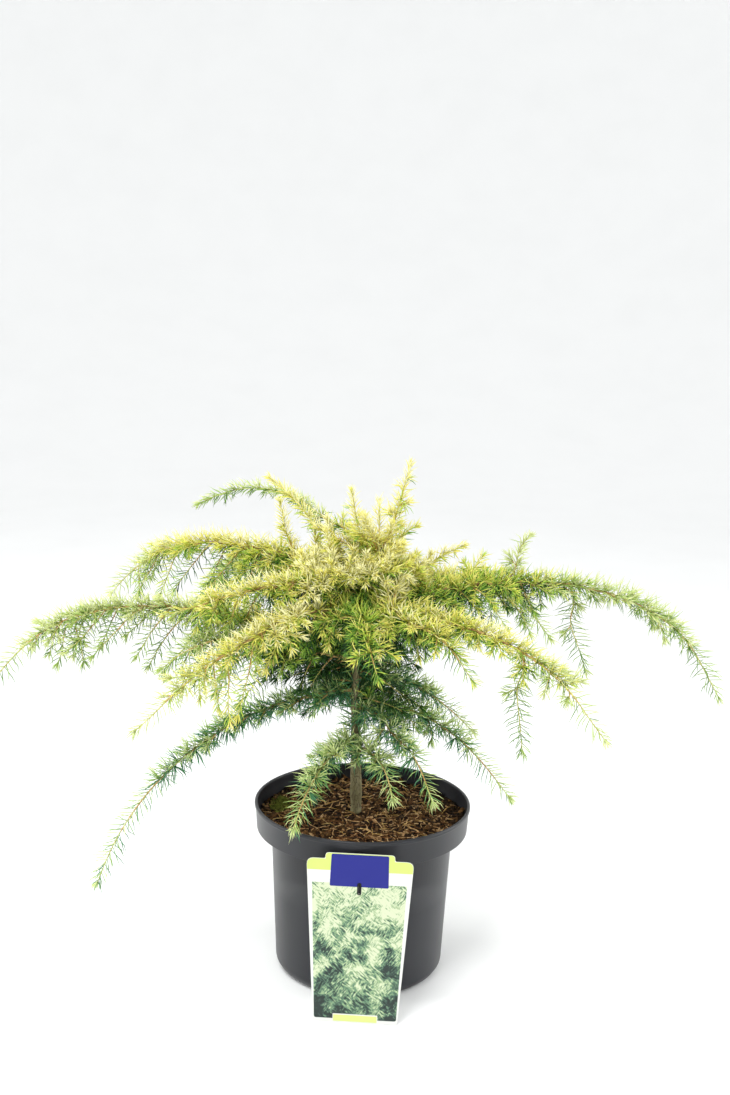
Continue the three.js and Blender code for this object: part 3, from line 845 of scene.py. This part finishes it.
def pot_mesh():
    """The pot, from under its floor out and up round the skirt and the rim, and down the inside."""
    rim, top = POT_HIGH[0], POT_HIGH[2]
    skirt, shoulder = POT["skirt_radius"], POT["shoulder_radius"]
    wall, edge = POT["wall"], POT["skirt_bottom"]
    lip = wall / 2 + 0.45
    bead, bend, hollow, ring = POT["bead_height"], POT["heel_bend"], POT["foot_hollow"], POT["ring_inner"]
    outside = [
        (0, hollow), (ring - 5, hollow), (ring - 2, hollow - 0.8), (ring, 0.0), (POT["ring_outer"], 0.0),
        *arc((POT["heel_radius"] - bend, bend), bend, -76, 0, 9),
        (blend(POT["heel_radius"], shoulder, 0.5), blend(POT["heel_height"], edge, 0.5)),
        (shoulder - 0.6, bead - 1.2),
        *arc((shoulder - 0.5, bead), 0.5 + POT["bead"], -60, 60, 4),
        (shoulder - 0.3, bead + 1.4),
        *arc((shoulder + 2.5, edge - 2.5), 2.5, 180, 90, 4),
        *arc((skirt - 1.4, edge + 1.4), 1.4, -90, -10, 4),
        (rim - 1.1, top - 5.2),
        *arc((rim - lip, top - 3.0), lip, -35, 0, 3),
        *arc((rim - lip, top - lip), lip, 0, 180, 9),
        (rim - 2 * lip, top - 4.5),
    ]
    inside = [
        *arc((skirt - wall - 1.4, edge + wall + 2.6), 1.4, 0, -90, 3),
        *arc((shoulder - wall + 1.6, edge + wall - 0.4), 1.6, 90, 180, 3),
        (POT["heel_radius"] - wall, POT["heel_height"]),
        (POT["foot_radius"] - wall, POT["floor"] + 2),
        (POT["foot_radius"] - wall - 3, POT["floor"] + hollow),
        (0, POT["floor"] + hollow),
    ]
    shape = spun([*outside, *inside], 144)
    for corner in shape.verts:
        radius = math.hypot(corner.co.x, corner.co.y) / MM
        turn = math.atan2(corner.co.y, corner.co.x) * NOTCHES / (2 * math.pi) - 0.5
        off = abs(turn - round(turn)) * 2 * math.pi * POT["foot_radius"] / NOTCHES
        if off < NOTCH_WIDTH / 2 and radius > ring - 1 and corner.co.z < NOTCH_REACH * MM:
            corner.co.z = NOTCH_HEIGHT * MM + corner.co.z * (1 - NOTCH_HEIGHT / NOTCH_REACH)
    return finished(shape, bpy.data.meshes.new("nursery_pot"))


# ---- compost ----

# The lumps and crumbs in the compost's top: their height, how wide they are, and the noise's own layer.
LUMPS = ((1.5, 19, 3.0), (1.1, 6.5, 8.0))
CRUMBS = (0.5, 2.4, 5.0)
HEAP = 3.2  # how much lower the compost lies by the wall than round the stem


def bump_height(x, y, height, width, layer):
    return height * noise.noise(Vector((x / width, y / width, layer)))


def compost_height(x, y):
    """The rough top of the compost at a place, in millimetres: heaped a little round the stem."""
    lumps = bump_height(x, y, *LUMPS[0]) + bump_height(x, y, *LUMPS[1])
    settled = HEAP * float(smooth(math.hypot(x, y), 30, 104))
    return SOIL_HIGH[2] - 1.2 - settled + lumps + bump_height(x, y, *CRUMBS)


def compost_mesh():
    """The compost, close inside the pot's wall, with a fine grid of rings for its rough top."""
    wide, bottom, top, edge = SOIL_HIGH[0], SOIL_LOW[2], SOIL_HIGH[2], POT["skirt_bottom"]
    below = [
        (0, bottom + 2.4), (74, bottom + 2.4), (84, 21), (91.5, edge + 1), (92.5, edge + 3.4),
        (wide - 1.2, edge + 3.8),
    ]
    rings = [(radius, top) for radius in np.linspace(wide, 0, 64)]
    shape = spun([*below, *rings], 200)
    for corner in shape.verts:
        if corner.co.z > (top - 0.5) * MM:
            corner.co.z = compost_height(corner.co.x / MM, corner.co.y / MM) * MM
    return finished(shape, bpy.data.meshes.new("compost"))


def compost_spots(count, radius=104.5, clear=9.0):
    """Places scattered over the compost, clear of the stem."""
    spread = np.sqrt(random.uniform(0, 1, count)) * radius
    turn = random.uniform(0, 2 * math.pi, count)
    places = np.stack([spread * np.cos(turn), spread * np.sin(turn)], 1)
    return places[np.linalg.norm(places - stem_foot[:2], axis=1) > clear]


def chip_mesh(name, count, longest):
    """Flat broken chips of bark, each a crooked six-sided block, lying on the compost."""
    spots = compost_spots(count)
    count = len(spots)
    size = np.stack([
        random.uniform(0.25, 1, count) * longest, random.uniform(0.1, 0.34, count) * longest,
        random.uniform(0.6, 1.9, count),
    ], 1) / 2
    square = ((-1, -1), (1, -1), (1, 1), (-1, 1))
    block = np.array([[x, y, z] for z in (-1, 1) for x, y in square], float)
    corners = block[None] * size[:, None] * random.uniform(0.55, 1.1, (count, 8, 3))
    turn = random.uniform(0, 6.3, count)
    tip = random.normal(0, 0.28, count)
    roll = random.normal(0, 0.45, count)
    for i in range(count):
        spin = Matrix.Rotation(turn[i], 3, "Z") @ Matrix.Rotation(tip[i], 3, "X")
        spin = spin @ Matrix.Rotation(roll[i], 3, "Y")
        corners[i] = corners[i] @ np.array(spin).T
        corners[i] += [*spots[i], compost_height(*spots[i]) + size[i, 2] * 0.8]
    sides = [[0, 2, 1], [0, 3, 2], [4, 5, 6], [4, 6, 7]]
    for k in range(4):
        after = (k + 1) % 4
        sides += [[k, after, 4 + after], [k, 4 + after, 4 + k]]
    return mesh_from(name, corners, sides)


def fibre_mesh(name, count, longest, thick):
    """Curling fibres of coir and root lying over the compost."""
    strands = []
    for x, y in compost_spots(count, radius=98):
        heading = unit(np.array([*random.normal(0, 1, 2), 0.12]))
        line = grown((x, y, 0), heading, random.uniform(0.35, 1) * longest, 0.0, 0.16)
        line = line[np.hypot(line[:, 0], line[:, 1]) < 104]
        if len(line) < 3:
            continue
        lift = random.uniform(0.3, 1.6)
        for place in line:
            place[2] = compost_height(place[0], place[1]) + lift
        strands.append((line, np.linspace(thick, thick * 0.5, len(line))))
    return tube_mesh(name, strands, 0)


def fallen_needles(count):
    """Shed needles that lie on the compost, as arrays for needle_mesh."""
    spots = compost_spots(count, radius=98)
    turn = random.uniform(0, 2 * math.pi, len(spots))
    tip = random.uniform(-0.05, 0.18, len(spots))
    base = np.array([(x, y, compost_height(x, y) + 2.0) for x, y in spots])
    heading = unit(np.stack([np.cos(turn), np.sin(turn), tip], 1))
    return base, heading, random.uniform(12, 21, len(spots))


MOSS_CENTRE = (-87, 16)
MOSS_HALF = (10, 24)


def moss_tuft(count):
    """A cushion of moss by the rim, on the left: short stems close together, as arrays for needle_mesh."""
    spread = np.sqrt(random.uniform(0, 1, count))
    turn = random.uniform(0, 2 * math.pi, count)
    x = MOSS_CENTRE[0] + MOSS_HALF[0] * spread * np.cos(turn)
    y = MOSS_CENTRE[1] + MOSS_HALF[1] * spread * np.sin(turn)
    base = np.array([(x[i], y[i], compost_height(x[i], y[i]) - 0.5) for i in range(count)])
    heading = unit(np.stack([*random.normal(0, 0.4, (2, count)), np.ones(count)], 1))
    return base, heading, random.uniform(3, 5, count) + 4 * (1 - spread)


# ---- the label ----

LABEL = {
    "bottom_width": 83, "shoulder_width": 105, "shoulder_height": 164, "tab_width": 68, "tab_height": 6,
    "foot_corner": 2.5, "corner": 7, "card": 0.55, "ink": 0.12, "margin": 0.3,
    "slot_half": 1.1, "slot_low": 130, "slot_high": 140, "surround": 1.0, "band_height": 152.5,
    "picture_foot": 3.5, "picture_height": 140, "patch_half": 22, "patch_height": 8.5,
    "plaque_height": 137, "plaque_half": 28,
}


def label_place():
    """The matrix that stands a flat drawing of the label, in millimetres, where the label's solid is."""
    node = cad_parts["label"]
    facing = Vector((0, 0, 0))
    for face in node.data.polygons:
        if face.normal.y < -0.8:
            facing += face.normal * face.area
    facing.normalize()
    right = Vector((0, 0, 1)).cross(facing).normalized()
    upright = facing.cross(right)
    turned = Matrix((right, upright, facing)).transposed()
    local = [turned.transposed() @ corner.co for corner in node.data.vertices]
    left, across = min(p.x for p in local), max(p.x for p in local)
    origin = turned @ Vector(((left + across) / 2, min(p.y for p in local), min(p.z for p in local)))
    return Matrix.Translation(origin) @ turned.to_4x4() @ Matrix.Scale(MM, 4)


def mirrored(right):
    """A whole outline from its right half, up from the foot, of (across, height, corner radius)."""
    left = [(-x, y, radius) for x, y, radius in right]
    return [left[0], *right, *reversed(left[1:])]


def rounded(points, steps=5):
    """A closed outline of (across, height, corner radius) points, with its corners rounded."""
    made = []
    places = [np.array(point[:2], float) for point in points]
    for i, (corner, (*_, radius)) in enumerate(zip(places, points)):
        if radius == 0:
            made.append(tuple(corner))
            continue
        start = corner + unit(places[i - 1] - corner) * radius
        end = corner + unit(places[(i + 1) % len(points)] - corner) * radius
        for share in np.linspace(0, 1, steps):
            bend = (1 - share) ** 2 * start + 2 * share * (1 - share) * corner + share ** 2 * end
            made.append(tuple(bend))
    return made


def plate(name, outline, low, high, holes=()):
    """A flat plate between two depths, cut to an outline with holes through it, and stood in place."""
    shape = bmesh.new()
    edges = []
    for loop in (outline, *holes):
        corners = [shape.verts.new((x, y, low)) for x, y in loop]
        edges += [shape.edges.new((corners[i - 1], corners[i])) for i in range(len(corners))]
    bmesh.ops.triangle_fill(shape, use_beauty=True, use_dissolve=False, edges=edges)
    grown_part = bmesh.ops.extrude_face_region(shape, geom=shape.faces[:])["geom"]
    raised = [item for item in grown_part if isinstance(item, bmesh.types.BMVert)]
    bmesh.ops.translate(shape, verts=raised, vec=(0, 0, high - low))
    bmesh.ops.recalc_face_normals(shape, faces=shape.faces)
    bmesh.ops.transform(shape, matrix=label_place(), verts=shape.verts)
    return finished(shape, bpy.data.meshes.new(name))


def make_label():
    """The plain plant label: a white card with a picture, a lime band, a blue plaque and a slot, with a
    black ring of painted shade round the slot.
    """
    foot, shoulder, tab = LABEL["bottom_width"] / 2, LABEL["shoulder_width"] / 2, LABEL["tab_width"] / 2
    tall, corner, margin = LABEL["shoulder_height"], LABEL["corner"], LABEL["margin"]
    top = tall + LABEL["tab_height"]
    card, ink = LABEL["card"], LABEL["ink"]
    half, slot_low, slot_high, around = (
        LABEL[key] for key in ("slot_half", "slot_low", "slot_high", "surround")
    )
    band, picture_foot, picture = LABEL["band_height"], LABEL["picture_foot"], LABEL["picture_height"]
    patch, patch_top = LABEL["patch_half"], LABEL["patch_height"]
    plaque, plaque_foot = LABEL["plaque_half"], LABEL["plaque_height"]

    def side_at(height):
        return blend(foot, shoulder, height / tall)

    card_half = [
        (foot, 0, LABEL["foot_corner"]), (shoulder, tall, corner), (tab, tall, 2), (tab, top, corner / 2),
    ]
    band_half = [
        (side_at(band) - margin, band, 0), (shoulder - margin, tall - margin, corner),
        (tab - margin, tall - margin, 0), (tab - margin, top - margin, corner / 2),
    ]
    picture_half = [
        (patch, patch_top, 0), (patch, picture_foot, 0), (side_at(0) - 1.2, picture_foot, 2),
        (side_at(picture) - 4.5, picture, 1),
    ]
    patch_half = [(patch - 0.6, 1.0, 0), (patch - 0.6, patch_top - 1.2, 0)]
    plaque_outline = [
        (-plaque - 1, plaque_foot, 1.5), (-half, plaque_foot, 0), (-half, slot_high, 0),
        (half, slot_high, 0), (half, plaque_foot, 0), (plaque + 0.5, plaque_foot, 1.5),
        (plaque, top - 1, 1.5), (-plaque, top - 1, 1.5),
    ]
    # Painted shade: a thin black ring round the slot, so that the slot reads as dark as its shadowed
    # opening.
    slot_shade_half = [
        (half + around, slot_low - around, 1.8), (half + around, slot_high + around + 0.2, 1.8),
    ]
    slot = rounded(mirrored([(half, slot_low, 1.0), (half, slot_high, 1.0)]), 3)
    levels = [0, card, card + ink, card + 2 * ink, card + 3 * ink]
    for name, outline, level, holes, finish in (
        ("card", rounded(mirrored(card_half)), 0, [slot], printed_card("printed_card_white", "e7e8e3")),
        ("band", rounded(mirrored(band_half)), 1, [], printed_card("printed_card_lime", "d3e67c")),
        ("picture", rounded(mirrored(picture_half)), 1, [slot], printed_foliage()),
        ("patch", rounded(mirrored(patch_half)), 1, [], printed_card("printed_card_pale_lime", "dde98c")),
        ("plaque", rounded(plaque_outline), 2, [], printed_card("printed_card_blue", "262b86")),
        ("slot", rounded(mirrored(slot_shade_half), 4), 3, [slot], printed_card("printed_card_black", "17181a")),
    ):
        mesh = plate(f"label_{name}", outline, levels[level], levels[level + 1], holes)
        piece(mesh, finish, ["label"], soft=False)


# ---- wood and foliage, grown ----

# Arms with slack side shoots that hang below them: from and to what share of the arm, and how long.
DRAPED = {
    "left_far": (0.30, 0.80, 66), "left_high": (0.28, 0.86, 72), "left_middle": (0.28, 0.86, 72),
    "left_front": (0.28, 0.80, 60), "left_under": (0.28, 0.86, 72), "right_far": (0.16, 0.46, 44),
    "back_left": (0.28, 0.86, 66), "back_middle": (0.28, 0.86, 66), "back_right": (0.28, 0.86, 66),
}

# Short uprights that stand on the arms: how far out, and how tall.
RISERS = [
    ("left_high", 84, 60), ("left_high", 58, 40), ("right_far", 62, 46), ("back_left", 60, 44),
    ("back_middle", 72, 40), ("left_middle", 62, 34), ("right_middle", 50, 36), ("back_right", 64, 40),
    ("right_far", 30, 64), ("back_right", 34, 56), ("right_middle", 22, 60), ("front_right", 28, 58),
    ("left_middle", 34, 62), ("left_front", 40, 46), ("back_middle", 36, 60), ("left_high", 30, 58),
]
BACK_HALF = (-0.35, math.pi + 0.35)  # the turns, from right round the back to left, of the collar
WHOLE_TURN = (0, 2 * math.pi)
CROWN_FROM = 0.7  # the share of the trunk above which it is the crown's stem

trunk, trunk_widths = read_trunk()
stem_foot = trunk.line[0]
arms = [read_arm(name.replace("bough_", ""), trunk) for name in BOUGHS]
by_name = {arm.name: arm for arm in arms}
masses = [node.replace("foliage_", "") for node in FOLIAGE]
free = [
    read_free_shoot(name, [trunk, *arms])
    for name in masses if name in TONE and not name.endswith("_middle")
]

laterals = []
trails = []
curtain = []
for arm in arms:
    half = arm.length * 0.5
    if arm.name in LOW_ARMS:
        laterals += branch_out(arm, 12, arm.length * 0.55, spacing=15, longest=30)
    else:
        laterals += branch_out(arm, 24, half, spacing=9.5, longest=42)
        laterals += branch_out(arm, half, arm.length * 0.84, spacing=16, longest=30)
        # The curtain hangs under each arm near the trunk, and cooler makes its needles greener and darker:
        # partly the greener inner growth, partly painted shade under the arm.
        curtain += branch_out(
            arm, 14, min(110, half), spacing=9, longest=36, droop=0.012, sag=1.3, flat=0.6, cooler=0.34
        )
    if arm.name in DRAPED:
        first, last, longest = DRAPED[arm.name]
        trails += branch_out(
            arm, arm.length * first, arm.length * last, spacing=17, longest=longest,
            droop=0.006, sag=0.8, flat=0.4, cooler=0.14,
        )
for shoot in free:
    laterals += branch_out(shoot, 10, shoot.length * 0.6, spacing=26, longest=13, droop=0.002)
risers = [riser(by_name[name], distance, height) for name, distance, height in RISERS]
upper_heart = heart_shoots("foliage_upper_middle", [trunk, *arms], count=64)
lower_heart = heart_shoots("foliage_lower_middle", [trunk, *arms], count=84)
collar = whorl_out("collar", trunk, 124, 196, spacing=2.1, longest=84, turns=BACK_HALF, rise=0.0)
crown_stem = Shoot("crown", trunk.line[int(len(trunk.line) * CROWN_FROM):], 3.0, 1.9, TONE["crown"])
crest = whorl_out(
    "crest", crown_stem, crown_stem.length * 0.45, crown_stem.length,
    spacing=2.6, longest=64, turns=WHOLE_TURN, rise=1.5,
)
small = []
for lateral in laterals:
    if lateral.length > 24:
        small += branch_out(lateral, 7, lateral.length * 0.75, spacing=9.5, longest=lateral.length * 0.42)

for arm in arms:
    if arm.name in LOW_ARMS:
        tufts(arm, 8, arm.length * 0.66, spacing=5, length=23, most=19, upward=0.12, lift=0.0)
        clothe(arm, 8, spacing=1.15, length=22, opened=58)
    else:
        tufts(arm, 14, arm.length * 0.8, spacing=6, length=21, most=18, upward=0.35, lift=0.10)
        clothe(arm, arm.length * 0.22, spacing=1.4, length=22, opened=60)
for shoot in free + risers:
    if shoot.name.endswith("hanger"):
        clothe(shoot, shoot.length * 0.12, spacing=1.25, length=22, opened=62)
    else:
        clothe(shoot, shoot.length * 0.1, spacing=0.7, length=15, opened=52)
        tufts(shoot, 6, shoot.length * 0.85, spacing=10, length=14, most=10, upward=0.0)

# How the other shoots are clothed (first, spacing, length, opened, closed), and the spurs on them (first,
# up to what share of the shoot, spacing, length, most, upward).
for shoots, cover, spurs in (
    (laterals, (3, 1.3, 19, 62), (5, 0.6, 9, 18, 11, 0.3)),
    (trails, (4, 1.3, 19, 60), None),
    (curtain, (3, 1.1, 22, 66), None),
    (collar, (6, 1.2, 23, 66), (8, 0.7, 10, 22, 13, 0.0)),
    (crest, (4, 0.8, 17, 56), None),
    (small, (2, 1.4, 16, 62), None),
    (upper_heart, (3, 0.9, 17, 64, 38), (6, 0.8, 9, 16, 12, 0.2)),
    (lower_heart, (3, 0.9, 24, 66, 40), (6, 0.9, 9, 24, 14, 0.2)),
):
    for shoot in shoots:
        clothe(shoot, *cover)
        if spurs:
            first, share, *rest = spurs
            tufts(shoot, first, shoot.length * share, *rest)
tufts(trunk, 58, trunk.length * 0.72, spacing=5, length=23, most=15, upward=0.0)
tufts(crown_stem, 0, crown_stem.length, spacing=3, length=19, most=16, upward=0.0)
brush(crown_stem, length=20, count=46)

ROOM = 8.0  # how far needles may stand out of the model's box
POT_GAP = 9.0  # how far they stay from the pot's wall


def clear_of_pot(places):
    """Which of some places are in the model's room, and in neither the compost nor the pot's wall."""
    room_low, room_high = np.array(cad_low) / MM - ROOM, np.array(cad_high) / MM + ROOM
    wall, rim_height = POT_HIGH[0] - 4, POT_HIGH[2]
    off_axis, height = np.hypot(places[:, 0], places[:, 1]), places[:, 2]
    inside_room = ((places > room_low) & (places < room_high)).all(1)
    in_compost = (off_axis < wall) & (height < rim_height - 11)
    through_wall = (np.abs(off_axis - wall) < POT_GAP) & (height < rim_height + 1)
    return inside_room & ~in_compost & ~through_wall


def make_needles():
    """Sorts the needles into colours by family, warmth and shade, and makes the pieces of each."""
    needles = {key: np.concatenate(values) for key, values in NEEDLES.items()}
    tips = needles["base"] + needles["heading"] * needles["length"][:, None]
    kept = np.flatnonzero(clear_of_pot(tips))
    shade = shade_of(needles["base"][kept])
    for family, tints in TINTS.items():
        warmth = needles["warmth"][kept] - SHADING[family] * shade
        kind = np.searchsorted([limit for *_, limit in tints], warmth)
        for number, (name, code, _) in enumerate(tints):
            chosen = kept[(kind == number) & (needles["family"][kept] == family)]
            finish = waxy_needle("waxy_" + name, code)
            for share, group in enumerate(np.array_split(chosen, math.ceil(len(chosen) / MOST_NEEDLES))):
                ways = (needles[key][group] for key in ("base", "heading", "length"))
                piece(needle_mesh(f"{name}_{share + 1}", *ways), finish, FOLIAGE)


def stretch(shoot, first, last):
    """The part of a shoot between two shares of its length, with its radii."""
    distances = np.arange(first * shoot.length, last * shoot.length, STEP)
    distances = np.append(distances, last * shoot.length)
    return at(shoot.line, shoot.line, distances), at(shoot.line, shoot.radii(), distances)


def bark_line(shoot, last, step):
    """A limb's wood up to a share of its length: fine steps, with a collar where it leaves its parent."""
    distances = np.arange(0, shoot.length * last, step)
    line = at(shoot.line, shoot.line, distances)
    radii = at(shoot.line, shoot.radii(), distances) * (1 + 0.55 * np.exp(-distances / 5.0))
    knots = 1 + 0.10 * np.clip(np.sin(distances / 8.5 * 2 * math.pi + len(shoot.name)), 0, 1) ** 3
    return line, radii * knots


def make_trunk():
    """The trunk, flared at its foot, with a low swelling where each arm leaves it."""
    line = respaced(trunk.line, 1.2)
    heights = run_of(line)
    radii = np.interp(heights / heights[-1], run_of(trunk.line) / trunk.length, trunk_widths)
    radii = eased(radii[:, None], 30)[:, 0]
    radii += 1.7 * np.exp(-heights / 7.0)
    for arm in arms:
        height = heights[nearest(line, arm.line[0])]
        radii += 0.5 * np.exp(-((heights - height) / 5.0) ** 2)
    line[0][2] -= 3
    mesh = tube_mesh("trunk_bark", [(line, radii)], roundness=12)
    mesh = roughened(mesh, depth=0.42, grain=3.2, stretch=3.5)
    piece(mesh, grey_bark(), ["trunk"])


def make_limbs():
    """The arms' old wood, then every shoot's tan foot and its lime end, which overlap a little."""
    mesh = tube_mesh("bough_bark", [bark_line(arm, 0.6, 1.6) for arm in arms], roundness=5)
    mesh = roughened(mesh, depth=0.2, grain=1.9, stretch=1.0)
    finish = young_bark("bough_bark_warm_brown", "896e40", "b0905a", "ccb078", 9)
    piece(mesh, finish, BOUGHS)
    grown_on = laterals + trails + curtain + collar + crest + upper_heart + lower_heart
    tan = [stretch(arm, 0.58, 0.86) for arm in arms]
    tan += [stretch(shoot, 0.0, 0.4) for shoot in free + risers]
    tan += [stretch(shoot, 0.0, 0.5) for shoot in grown_on]
    finish = young_bark("twig_bark_tan", "b08a52", "c9a566", "dcc084", 6)
    piece(tube_mesh("twigs", tan, 1), finish, FOLIAGE)
    lime = [stretch(arm, 0.85, 1.0) for arm in arms]
    lime += [stretch(shoot, 0.39, 1.0) for shoot in free + risers]
    lime += [stretch(shoot, 0.49, 1.0) for shoot in grown_on]
    lime += [stretch(shoot, 0.0, 1.0) for shoot in small]
    finish = young_bark("young_twig_lime", "b5ac5c", "c9c46e", "dedc94", 7)
    piece(tube_mesh("young_twigs", lime, 0), finish, FOLIAGE)


def make_pot():
    """The pot and what fills it: compost, chips of bark, fibres, shed needles and a cushion of moss."""
    piece(pot_mesh(), moulded_polypropylene(), ["pot"])
    finish = crumbled("composted_bark_fine", "120a04", "26180b", "402b18", 4)
    piece(compost_mesh(), finish, ["soil"])
    for name, count, longest, codes in (
        ("bark_chips_dark", 1000, 12, ("140b05", "28190c", "3f2b16")),
        ("bark_chips_brown", 560, 15, ("38260f", "553a1e", "775732")),
        ("bark_chips_light", 230, 11, ("7c5c3c", "a07c54", "c0a27a")),
    ):
        finish = crumbled(name + "_composted", *codes, 3)
        piece(chip_mesh(name, count, longest), finish, soft=False)
    for name, count, longest, thick, codes in (
        ("coir_brown", 330, 26, 0.5, ("50341c", "714b2c", "91693f")),
        ("coir_tan", 250, 34, 0.6, ("a07a50", "c39c6c", "dfc294")),
    ):
        finish = crumbled(name + "_fibre", *codes, 3)
        piece(fibre_mesh(name, count, longest, thick), finish)
    finish = crumbled("dry_needle_tan", "8a6a38", "b08c50", "cdb074", 6)
    piece(needle_mesh("fallen_needles", *fallen_needles(90)), finish)
    finish = crumbled("moss_feathery", "3c4216", "5e6524", "868a3a", 3)
    piece(needle_mesh("moss", *moss_tuft(420)), finish)


# ---- floor, light and camera ----

FLOOR_GAP = 0.0002  # how far the floor lies below the pot's foot, in metres


def make_stage():
    """A round white sweep: a level floor that turns up, all the way round, into a wall far off."""
    profile = [(0, 0), (2600, 0), *arc((2600, 2400), 2400, -88, 0, 16), (5000, 3600)]
    mesh = finished(spun(profile, 96), bpy.data.meshes.new("floor"))
    mesh.polygons.foreach_set("use_smooth", np.ones(len(mesh.polygons), bool))
    floor = placed("floor", mesh)
    floor.location.z = min(0.0, cad_low.z) - FLOOR_GAP
    material, tree, shader, where = finish_of("painted_board_white", Roughness=0.8, Specular_IOR_Level=0.2)
    paint = add(tree, "TexNoise", {"Vector": where, "Scale": per_mm(160), "Detail": 2.0})
    tone = ramp(tree, paint.outputs["Fac"], (0.2, "f6f7f7"), (0.8, "f9fafa"))
    fit(tree, shader, {"Base Color": tone})
    mesh.materials.append(material)


def softbox(name, place, target, size, power):
    """A square soft light at a place, facing a target."""
    light = bpy.data.lights.new(name, "AREA")
    light.shape = "SQUARE"
    light.size = size
    light.energy = power
    lamp = placed(name, light)
    lamp.location = place
    lamp.rotation_euler = (Vector(target) - Vector(place)).to_track_quat("-Z", "Y").to_euler()


def make_light():
    world = bpy.data.worlds.new("studio")
    world.use_nodes = True
    sky = world.node_tree.nodes["Background"]
    fit(world.node_tree, sky, {"Color": colour("fbfbfb"), "Strength": 0.95})
    bpy.context.scene.world = world
    softbox("key", (-0.6, -1.2, 2.3), (0, 0, 0.3), 0.8, 30)
    softbox("left_box", (-1.5, 0.1, 0.7), (0, 0, 0.2), 0.9, 12)
    softbox("right_box", (1.5, 0.2, 0.7), (0, 0, 0.2), 0.9, 12)
    bpy.context.scene.view_settings.view_transform = "Standard"


def make_camera():
    """Eye height above the rim, a little right of the pot, looking slightly down at the plant."""
    data = bpy.data.cameras.new("camera")
    data.lens = 50
    data.sensor_width = 36
    camera = placed("camera", data)
    tilt, turn, roll = math.radians(90 - 12.04), math.radians(0.86), math.radians(1.57)
    aim = Matrix.Rotation(turn, 4, "Z") @ Matrix.Rotation(tilt, 4, "X") @ Matrix.Rotation(roll, 4, "Z")
    camera.matrix_world = Matrix.Translation((0.0178, -1.4942, 0.7675)) @ aim
    bpy.context.scene.camera = camera


make_needles()
make_trunk()
make_limbs()
make_pot()
make_label()
make_stage()
make_light()
make_camera()
